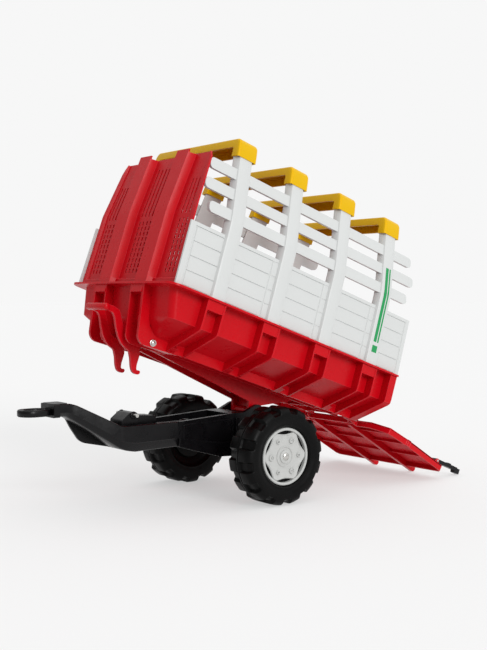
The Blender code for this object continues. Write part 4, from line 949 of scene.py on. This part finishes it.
TYRE_LOW, TYRE_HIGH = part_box("left_tyre")
WHEEL_R = (TYRE_HIGH.z - TYRE_LOW.z) / 2
TYRE_HALF = (TYRE_HIGH.y - TYRE_LOW.y) / 2
TYRE_OUT = max(abs(TYRE_LOW.y), abs(TYRE_HIGH.y))
RIM_R = 0.066
RIM_SUNK = 0.009
BORE = 0.0056
BOSS_RING = 0.040          # radius of the circle on which the cover's bosses stand


def tyre_profile():
    """(radius, y, lug share) points round the outer half of the tyre's section, from bore to crown."""
    half, top = TYRE_HALF, WHEEL_R
    face = half - RIM_SUNK - 0.007
    return [(BORE, face, 0), (RIM_R - 0.006, face, 0), (RIM_R - 0.0005, face + 0.001, 0),
            (RIM_R + 0.0004, half - 0.010, 0), (RIM_R + 0.0030, half - 0.0045, 0),
            (RIM_R + 0.0055, half - 0.0025, 0), (RIM_R + 0.0070, half - 0.0036, 0),
            (RIM_R + 0.0090, half - 0.0034, 0), (RIM_R + 0.0140, half - 0.0012, 0),
            (RIM_R + 0.0200, half - 0.0002, 0), (top - 0.0200, half - 0.0004, 0),
            (top - 0.0150, half - 0.0010, 0), (top - 0.0120, half - 0.0018, 0.3),
            (top - 0.0092, half - 0.0030, 0.65), (top - 0.0066, half - 0.0048, 1),
            (top - 0.0036, half - 0.0078, 1), (top - 0.0012, half - 0.0118, 1),
            (top - 0.0002, half - 0.0170, 1), (top, 0.0100, 1), (top, 0.0062, 0.85),
            (top - 0.0004, 0.0044, 0.12), (top - 0.0012, 0.0028, 0), (top - 0.0002, 0.0018, 0),
            (top, 0.0, 0)]


def lug_share(turn, count, offset):
    """1 on a lug and 0 between two, with steep rounded flanks."""
    part = (turn * count / (2 * math.pi) + offset) % 1.0
    return min(ramp(part, 0.0, 0.07), 1 - ramp(part, 0.56, 0.66))


def build_tyres(context):
    sizes = context.scene.wagon_sizes
    half_profile = tyre_profile()
    inner = [(r, -y, share) for r, y, share in reversed(half_profile[3:-1])]
    inner += [(RIM_R - 0.004, -TYRE_HALF + 0.012, 0), (0.048, -TYRE_HALF + 0.020, 0),
              (0.046, -TYRE_HALF + 0.016, 0), (0.030, -TYRE_HALF + 0.014, 0),
              (0.028, -TYRE_HALF + 0.006, 0), (BORE, -TYRE_HALF + 0.0005, 0)]
    parts = [0.0, 0.02, 0.045, 0.07, 0.10, 0.20, 0.31, 0.42, 0.52, 0.56, 0.585, 0.61, 0.635, 0.66, 0.70,
             0.80, 0.92]
    turns = sorted({round((k + (part + shift) % 1.0) / sizes.lugs, 5)
                    for k in range(sizes.lugs) for part in parts for shift in (0.0, 0.5)})
    for name, side in SIDES:
        work = bmesh.new()
        middle = side * (TYRE_OUT - TYRE_HALF)
        rings = []
        for part in turns:
            turn = 2 * math.pi * part
            ring = []
            for index, (r, y, share) in enumerate(half_profile + inner):
                offset = 0.0 if index < len(half_profile) else 0.5
                drop = share * sizes.lug * (1 - lug_share(turn, sizes.lugs, offset))
                radius, out = r - drop, abs(y) - drop * 0.25 * ramp(abs(y), 0.015, TYRE_HALF - 0.010)
                ring.append(about_axle(radius, turn, middle + side * math.copysign(out, y)))
            rings.append(ring)
        loft(work, rings, round_again=True)
        add_piece(name + "_tyre_blown", work, "tyre", name + "_wheel", None, (name + "_tyre",), 0.0, 50)


def rim_chord(turn):
    """Radius of the cover's edge: a circle with six shallow hollows, one along each slot."""
    share = ((math.degrees(turn) % 60) - 30) / 25
    return 0.0592 - 0.0088 * max(0.0, 1 - share ** 2)


def build_rims(context):
    face = TYRE_HALF - RIM_SUNK
    steps = [60 * k + part for k in range(6) for part in (0, 4.5, 9, 12, 16, 20, 25, 30, 35, 40, 44, 48,
                                                          51, 55.5)]
    for name, side in SIDES:
        middle = side * (TYRE_OUT - TYRE_HALF)
        work = bmesh.new()
        add_rim_cover(work, steps, face, middle, side)
        for k in range(6):
            turn = math.radians(60 * k)
            centre = about_axle(BOSS_RING, turn, middle)
            wide = 0.0072 if k % 2 else 0.0050
            boss = [(0.0014, face - 0.003), (0.0014, face + 0.0004), (wide - 0.0028, face + 0.0004),
                    (wide - 0.0023, face + 0.0022), (wide - 0.0008, face + 0.0022), (wide, face + 0.0012),
                    (wide + 0.0004, face - 0.003)]
            turned(work, boss, centre, 20, side)
        ring = [(RIM_R - 0.0070, face - 0.006), (RIM_R - 0.0066, face + 0.0016),
                (RIM_R - 0.0052, face + 0.0030), (RIM_R - 0.0022, face + 0.0032),
                (RIM_R - 0.0004, face + 0.0018), (RIM_R, face - 0.006)]
        turned(work, ring, (AXLE.x, middle, AXLE.z), 84, side)
        add_piece(name + "_rim_cover", work, "grey", name + "_wheel", None, (name + "_rim",), 0.0, 40)


def add_rim_cover(work, steps, face, middle, side):
    """The dished cover: hub ring, flat web and six hollows in its edge that leave the slots open."""
    radii = ((BORE, 0.0030), (0.0085, 0.0030), (0.0100, 0.0024), (0.0150, 0.0020), (0.0158, -0.0006),
             (0.0200, -0.0012), (0.0212, 0.0004), (0.0232, 0.0006), (0.0244, -0.0014), (0.0330, -0.0020),
             (0.0480, -0.0010))
    rings = []
    for degrees in steps:
        turn = math.radians(degrees)
        chord = rim_chord(turn)
        front = [(r, face + rise) for r, rise in radii] + [(chord - 0.0020, face + 0.0006),
                                                           (chord, face - 0.0008)]
        ring = front + [(r, y - 0.0030) for r, y in reversed(front)]
        rings.append([about_axle(r, turn, middle + side * y) for r, y in ring])
    loft(work, rings, round_again=True)


# ---- steel hardware ----
def build_steel(context):
    for name, side in SIDES:
        low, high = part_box(name + "_axle_cap")
        radius = (high.z - low.z) / 2
        inner = min(abs(low.y), abs(high.y))
        height = high.y - low.y
        profile = [(0.0002, 0.0004), (radius * 0.96, 0.0004), (radius, height * 0.16),
                   (radius * 0.97, height * 0.30)]
        profile += [(radius * 0.88 * math.cos(math.radians(t)),
                     height * (0.30 + 0.70 * math.sin(math.radians(t)))) for t in range(0, 86, 12)]
        profile += [(0.0002, height)]
        work = bmesh.new()
        turned(work, profile, (AXLE.x, side * inner, AXLE.z), 40, side)
        add_piece(name + "_axle_cap_dome", work, "steel", name_of_body(name + "_axle_cap"), None,
                  (name + "_axle_cap",), 0.0, 50)
    for node in ("axle", "pivot_rod", "keeper_pin", "latch_rod", "left_hinge_pin", "right_hinge_pin",
                 "tailgate_latch_pin"):
        dress(node, "steel", 0.0006, 50)
    add_rod_heads()


def name_of_body(node):
    return next(body for body, members in frame["record"]["behaviour"]["bodies"].items() if node in members)


def add_rod_heads():
    """Domed washers over the latch rod's ends."""
    reach = local_box("latch_rod", TUB)[1].y
    work = bmesh.new()
    for side in (1, -1):
        start = reach - 0.0045
        dome = [(0.0002, 0.0003), (0.0078, 0.0003), (0.0079, 0.0012), (0.0066, 0.0016)]
        dome += [(0.0060 * math.cos(math.radians(t)), 0.0018 + 0.0038 * math.sin(math.radians(t)))
                 for t in range(0, 86, 17)]
        dome += [(0.0002, 0.0056)]
        turned(work, dome, (LEVER_AXIS.x, side * start, LEVER_AXIS.z), 28, side)
    add_piece("latch_rod_heads", work, "steel", "tub", TUB, edge=0.0, angle=40)


# ---- chassis ----
SEAM = -0.178
TOP_LINE = ((-0.485, 0.2405), (-0.479, 0.2448), (-0.443, 0.2450), (-0.428, 0.2405), (-0.330, 0.1905),
            (-0.318, 0.1890), (SEAM, 0.1890))
UNDER_LINE = ((-0.485, 0.2170), (-0.449, 0.2170), (-0.435, 0.2085), (-0.330, 0.1400), (-0.312, 0.1325),
              (-0.292, 0.1285), (SEAM, 0.1310))
WIDTH_LINE = ((-0.485, 0.0290), (-0.440, 0.0300), (-0.425, 0.0335), (-0.345, 0.0520), (-0.325, 0.0550),
              (SEAM, 0.0550))
BEAM_WALL = 0.012
CHANNEL_FLOOR = 0.160


def beam_ring(x):
    """The beam's section at a distance: a trough whose sides swell to a crease below the middle."""
    top, under, half = along(TOP_LINE, x), along(UNDER_LINE, x), along(WIDTH_LINE, x)
    height = top - under
    crease = under + height * 0.36
    floor = max(CHANNEL_FLOOR, top - 0.03 * ramp(x, -0.334, -0.328)) if x > -0.334 else top - 0.0012
    inner = half - BEAM_WALL
    right = [(0.0, floor), (inner - 0.002, floor), (inner, floor + 0.0008),
             (inner + 0.0008, top - 0.0008), (inner + 0.002, top), (half - 0.0045, top),
             (half - 0.0024, top - 0.0014), (half - 0.0016, top - 0.004), (half - 0.0004, crease + 0.003),
             (half, crease), (half - 0.0030, crease - 0.0035), (half - 0.0090, under + 0.0022),
             (half - 0.0120, under), (0.0, under)]
    left = [(-a, b) for a, b in reversed(right[1:-1])]
    return [(x, a, b) for a, b in right + left]


def build_drawbar(context):
    work = bmesh.new()
    stations = [-0.4846, -0.482, -0.479, -0.474, -0.455, -0.447, -0.442, -0.437, -0.432, -0.427, -0.421,
                -0.410]
    stations += [-0.395, -0.380, -0.365, -0.350, -0.342, -0.3341, -0.3339, -0.330, -0.326, -0.320, -0.312,
                 -0.302]
    stations += [-0.290, -0.260, -0.220, -0.190, SEAM - 0.0006]
    loft(work, [beam_ring(x) for x in stations])
    keel = softened([(-0.440, 0.226), (-0.418, 0.186), (-0.398, 0.157), (-0.385, 0.149), (-0.292, 0.1292),
                     (-0.292, 0.150)], 0.006)
    prism(work, keel, "y", 0.021, 0.027)
    collar = softened(rectangle(-0.0315, 0.2165, 0.0315, 0.2455), 0.004)
    prism(work, collar, "x", -0.4844, -0.470)
    pad = softened(rectangle(-0.4840, -0.024, -0.448, 0.024), 0.005)
    prism(work, pad, "z", 0.243, 0.2465)
    hole = [(0.0016, -0.002), (0.0016, 0.0004), (0.0030, 0.0006), (0.0034, -0.002)]
    turned(work, hole, (-0.322, -0.0538, 0.166), 16, -1)
    add_piece("drawbar_moulding", work, "black", "chassis", CHASSIS, ("drawbar",), 0.0, 38)


def build_rear_frame(context):
    dress("rear_frame", "black", 0.0016, 38)
    work = bmesh.new()
    panel = softened([(-0.168, 0.182), (-0.168, 0.146), (-0.064, 0.130), (-0.024, 0.130),
                      (-0.024, 0.186)], 0.006)
    inner = softened([(-0.1655, 0.1795), (-0.1655, 0.1480), (-0.0635, 0.1325), (-0.0265, 0.1325),
                      (-0.0265, 0.1835)], 0.005)
    for side in (1, -1):
        rings = []
        for path, y in ((panel, 0.0545), (panel, 0.0568), (inner, 0.0568), (inner, 0.0545)):
            rings.append([(a, side * y, b) for a, b in path])
        loft(work, rings, round_again=True)
        prism(work, softened(rectangle(-0.018, 0.118, -0.006, 0.188), 0.0055, 4), "y",
              *span(side, 0.0545, 0.0590))
        seam = [(SEAM - 0.0015, 0.1315), (SEAM + 0.0025, 0.1315), (SEAM + 0.0045, 0.160),
                (SEAM + 0.0025, 0.1885), (SEAM - 0.0015, 0.1885), (SEAM + 0.0005, 0.160)]
        prism(work, softened(seam, 0.004), "y", *span(side, 0.0540, 0.0558))
    add_piece("rear_frame_borders", work, "black", "chassis", CHASSIS, (), 0.0007)


EYE_R = 0.030
EYE_STRETCH = 0.013        # how far the loop's rear half is drawn out towards the neck


def build_hitch(context):
    """The towing eye with its recessed face, the latch block and the release strut."""
    low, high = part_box("hitch_eye")
    eye = Vector((low.x + EYE_R, 0, (low.z + high.z) / 2))
    half = (high.z - low.z) / 2
    work = bmesh.new()
    profile = [(0.016, -half + 0.0015), (0.0175, -half), (0.0285, -half), (EYE_R, -half + 0.002),
               (EYE_R, half - 0.002), (0.0285, half), (0.0275, half), (0.0265, half - 0.0012),
               (0.0205, half - 0.0012), (0.0195, half), (0.0175, half), (0.016, half - 0.0015)]
    rings = []
    for k in range(48):
        turn = 2 * math.pi * k / 48
        shift = EYE_STRETCH * ramp(math.cos(turn), -0.15, 0.15)
        rings.append([(eye.x + shift + r * math.cos(turn), r * math.sin(turn) * 0.98, eye.z + z)
                      for r, z in profile])
    loft(work, rings, round_again=True)
    neck = [(eye.x + 0.033, -0.0150), (high.x, -0.0200), (high.x, 0.0200), (eye.x + 0.033, 0.0150)]
    prism(work, neck, "z", eye.z - half + 0.0006, eye.z + half - 0.0006)
    add_piece("hitch_eye_ring", work, "black", "chassis", None, ("hitch_eye",), 0.0, 45)
    for node in ("release_strut", "left_axle_spacer", "right_axle_spacer"):
        dress(node, "black", 0.0012, 40)
    low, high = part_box("latch_keeper")
    pin_low, pin_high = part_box("keeper_pin")
    pin = (pin_low + pin_high) / 2
    work = bmesh.new()
    block = [(low.x + 0.014, low.z), (pin.x + 0.014, low.z), (pin.x + 0.012, high.z - 0.008),
             (pin.x + 0.008, high.z - 0.0035), (low.x + 0.036, high.z - 0.0035),
             (low.x + 0.014, high.z - 0.020)]
    prism(work, softened(block, 0.003, 3), "y", -0.026, 0.026)
    tail = [(pin.x + 0.010, low.z), (high.x, low.z), (high.x, high.z - 0.022),
            (high.x - 0.005, high.z - 0.015), (pin.x + 0.024, high.z - 0.012),
            (pin.x + 0.010, high.z - 0.012)]
    prism(work, softened(tail, 0.003, 3), "y", -0.020, 0.020)
    for side in (1, -1):
        rod(work, (pin.x, side * 0.024, pin.z), (pin.x, side * 0.0285, pin.z), 0.0085, 28)
        rod(work, (high.x + 0.090, side * 0.010, low.z + 0.018),
            (high.x + 0.090, side * 0.016, low.z + 0.018), 0.006)
    add_piece("latch_block_moulding", work, "black", "chassis", None, ("latch_keeper",), 0.0008)


# ---- stage ----
CAMERA_TURN = math.radians(-37.319)
CAMERA_RISE = math.radians(1.7441)
CAMERA_DISTANCE = 2.6217
CAMERA_LENS = 58.98
AIM_OFFSET = Vector((0.0086, 0.0, -0.0110))    # from the middle of the wagon's box
FLOOR_REACH = 40.0
SUN_WAY = Vector((-0.08, -0.90, 0.36))
SKY_RISE = {"From Min": 0.0, "From Max": 1.0, "To Min": 0.40, "To Max": 1.25}
SKY_ASIDE = {"From Min": -1.0, "From Max": 1.0, "To Min": 0.62, "To Max": 1.38}
BACKDROP = 0.93


def studio_floor(name, colour):
    # Translucent white acrylic, lit softly from below so that the shadows stay pale; matt, faintly textured.
    return surface(name, colour, drift=0.002, drift_mm=900, grain_mm=14, grain_depth=0.00003,
                   rough=(0.85, 0.95), rough_mm=200, **{"Emission Color": (1.0, 1.0, 1.0, 1.0),
                                                        "Emission Strength": 0.47,
                                                        "Specular IOR Level": 0.0})


def build_stage(context):
    scene = context.scene
    low, high = CAD_BOX
    back = Vector((math.sin(CAMERA_TURN) * math.cos(CAMERA_RISE),
                   -math.cos(CAMERA_TURN) * math.cos(CAMERA_RISE), math.sin(CAMERA_RISE)))
    data = bpy.data.cameras.new("studio_camera")
    data.sensor_width = 36.0
    data.lens = CAMERA_LENS
    camera = bpy.data.objects.new("studio_camera", data)
    scene.collection.objects.link(camera)
    camera.location = (low + high) / 2 + AIM_OFFSET + back * CAMERA_DISTANCE
    camera.rotation_euler = (-back).to_track_quat("-Z", "Y").to_euler()
    scene.camera = camera

    mesh = bpy.data.meshes.new("studio_floor")
    square = rectangle(-FLOOR_REACH, -FLOOR_REACH, FLOOR_REACH, FLOOR_REACH)
    mesh.from_pydata([(x, y, 0) for x, y in square], [], [(0, 1, 2, 3)])
    floor = bpy.data.objects.new("studio_floor", mesh)
    scene.collection.objects.link(floor)
    mesh.materials.append(studio_floor("studio_floor", tuple(scene.wagon_colours.floor)))

    scene.world = studio_sky()
    sun = bpy.data.lights.new("soft_key", "SUN")
    sun.energy = 1.7
    sun.angle = math.radians(24)
    lamp = bpy.data.objects.new("soft_key", sun)
    scene.collection.objects.link(lamp)
    lamp.rotation_euler = SUN_WAY.to_track_quat("Z", "Y").to_euler()
    scene.view_settings.view_transform = "Standard"


def studio_sky():
    """Even white behind the wagon; the light itself is brightest overhead and dims towards the horizon."""
    world = bpy.data.worlds.new("studio")
    world.use_nodes = True
    tree = world.node_tree
    tree.nodes.clear()
    way = add_node(tree, "ShaderNodeTexCoord").outputs["Generated"]
    axes = add_node(tree, "ShaderNodeSeparateXYZ", {"Vector": way}).outputs
    above = add_node(tree, "ShaderNodeMapRange", {"Value": axes["Z"], **SKY_RISE}).outputs["Result"]
    aside = add_node(tree, "ShaderNodeMapRange", {"Value": axes["X"], **SKY_ASIDE}).outputs["Result"]
    glow = add_node(tree, "ShaderNodeMath", {0: above, 1: aside}, operation="MULTIPLY").outputs["Value"]
    seen = add_node(tree, "ShaderNodeLightPath").outputs["Is Camera Ray"]
    level = add_node(tree, "ShaderNodeMix", {0: seen, 2: glow, 3: BACKDROP}).outputs[0]
    light = add_node(tree, "ShaderNodeBackground", {"Strength": level, "Color": (1.0, 1.0, 1.0, 1.0)})
    add_node(tree, "ShaderNodeOutputWorld", {"Surface": light.outputs["Background"]})
    return world


# ---- operators ----
class BuildStep:
    """What all the operators share: each one calls its own build function."""

    def execute(self, context):
        self.build(context)
        return {"FINISHED"}


class HAYWAGON_OT_stage(BuildStep, bpy.types.Operator):
    """Set up the camera, the pale floor and the soft lights"""

    bl_idname = "haywagon.stage"
    bl_label = "Studio"
    build = staticmethod(build_stage)


class HAYWAGON_OT_tub(BuildStep, bpy.types.Operator):
    """Build the tub with its bays, rim, ribs, sockets and pivot lug"""

    bl_idname = "haywagon.tub"
    bl_label = "Tub"
    build = staticmethod(build_tub)


class HAYWAGON_OT_front_wall(BuildStep, bpy.types.Operator):
    """Build the slotted front wall with its two raised pilasters"""

    bl_idname = "haywagon.front_wall"
    bl_label = "Front wall"
    build = staticmethod(build_front_wall)


class HAYWAGON_OT_side_panels(BuildStep, bpy.types.Operator):
    """Build both side panels with their boards, posts, slats and stripes"""

    bl_idname = "haywagon.side_panels"
    bl_label = "Side panels"
    build = staticmethod(build_side_panels)


class HAYWAGON_OT_hoops(BuildStep, bpy.types.Operator):
    """Build the four hollow hoops over the load space"""

    bl_idname = "haywagon.hoops"
    bl_label = "Hoops"
    build = staticmethod(build_hoops)


class HAYWAGON_OT_front_latch(BuildStep, bpy.types.Operator):
    """Build the tipping latch with its handle and two hooks"""

    bl_idname = "haywagon.front_latch"
    bl_label = "Front latch"
    build = staticmethod(build_front_latch)


class HAYWAGON_OT_tailgate(BuildStep, bpy.types.Operator):
    """Build the tailgate with its border, skids, cross ribs and planks"""

    bl_idname = "haywagon.tailgate"
    bl_label = "Tailgate"
    build = staticmethod(build_tailgate)


class HAYWAGON_OT_tailgate_latch(BuildStep, bpy.types.Operator):
    """Build the tailgate's stepped latch"""

    bl_idname = "haywagon.tailgate_latch"
    bl_label = "Tailgate latch"
    build = staticmethod(build_tailgate_latch)


class HAYWAGON_OT_tyres(BuildStep, bpy.types.Operator):
    """Build the two blow-moulded tyres with their lugs"""

    bl_idname = "haywagon.tyres"
    bl_label = "Tyres"
    build = staticmethod(build_tyres)


class HAYWAGON_OT_rims(BuildStep, bpy.types.Operator):
    """Build the two slotted rim covers"""

    bl_idname = "haywagon.rims"
    bl_label = "Rims"
    build = staticmethod(build_rims)


class HAYWAGON_OT_drawbar(BuildStep, bpy.types.Operator):
    """Build the drawbar's trough, collar and keel"""

    bl_idname = "haywagon.drawbar"
    bl_label = "Drawbar"
    build = staticmethod(build_drawbar)


class HAYWAGON_OT_rear_frame(BuildStep, bpy.types.Operator):
    """Finish the rear frame and add its side borders"""

    bl_idname = "haywagon.rear_frame"
    bl_label = "Rear frame"
    build = staticmethod(build_rear_frame)


class HAYWAGON_OT_hitch(BuildStep, bpy.types.Operator):
    """Build the towing eye and finish the latch block, strut and spacers"""

    bl_idname = "haywagon.hitch"
    bl_label = "Hitch and latch block"
    build = staticmethod(build_hitch)


class HAYWAGON_OT_steel(BuildStep, bpy.types.Operator):
    """Finish the rods and pins and build the domed caps"""

    bl_idname = "haywagon.steel"
    bl_label = "Steel hardware"
    build = staticmethod(build_steel)


OPERATORS = (HAYWAGON_OT_stage, HAYWAGON_OT_tub, HAYWAGON_OT_front_wall, HAYWAGON_OT_side_panels,
             HAYWAGON_OT_hoops, HAYWAGON_OT_front_latch, HAYWAGON_OT_tailgate, HAYWAGON_OT_tailgate_latch,
             HAYWAGON_OT_tyres, HAYWAGON_OT_rims, HAYWAGON_OT_drawbar, HAYWAGON_OT_rear_frame,
             HAYWAGON_OT_hitch, HAYWAGON_OT_steel)


class HAYWAGON_PT_panel(bpy.types.Panel):
    """Lists the wagon's operators, sizes and colours."""

    bl_idname = "HAYWAGON_PT_panel"
    bl_label = "Hay Wagon"
    bl_space_type = "VIEW_3D"
    bl_region_type = "UI"
    bl_category = "Hay Wagon"

    def draw(self, context):
        for item in OPERATORS:
            self.layout.operator(item.bl_idname)
        for group in (context.scene.wagon_sizes, context.scene.wagon_colours):
            column = self.layout.column()
            for key in group.__annotations__:
                column.prop(group, key)


CLASSES = (WagonColours, WagonSizes, *OPERATORS, HAYWAGON_PT_panel)


def register():
    for item in CLASSES:
        bpy.utils.register_class(item)
    bpy.types.Scene.wagon_colours = bpy.props.PointerProperty(type=WagonColours)
    bpy.types.Scene.wagon_sizes = bpy.props.PointerProperty(type=WagonSizes)


def unregister():
    del bpy.types.Scene.wagon_sizes
    del bpy.types.Scene.wagon_colours
    for item in reversed(CLASSES):
        bpy.utils.unregister_class(item)


def main():
    register()
    for item in OPERATORS:
        family, step = item.bl_idname.split(".")
        getattr(getattr(bpy.ops, family), step)()


if __name__ == "__main__":
    main()
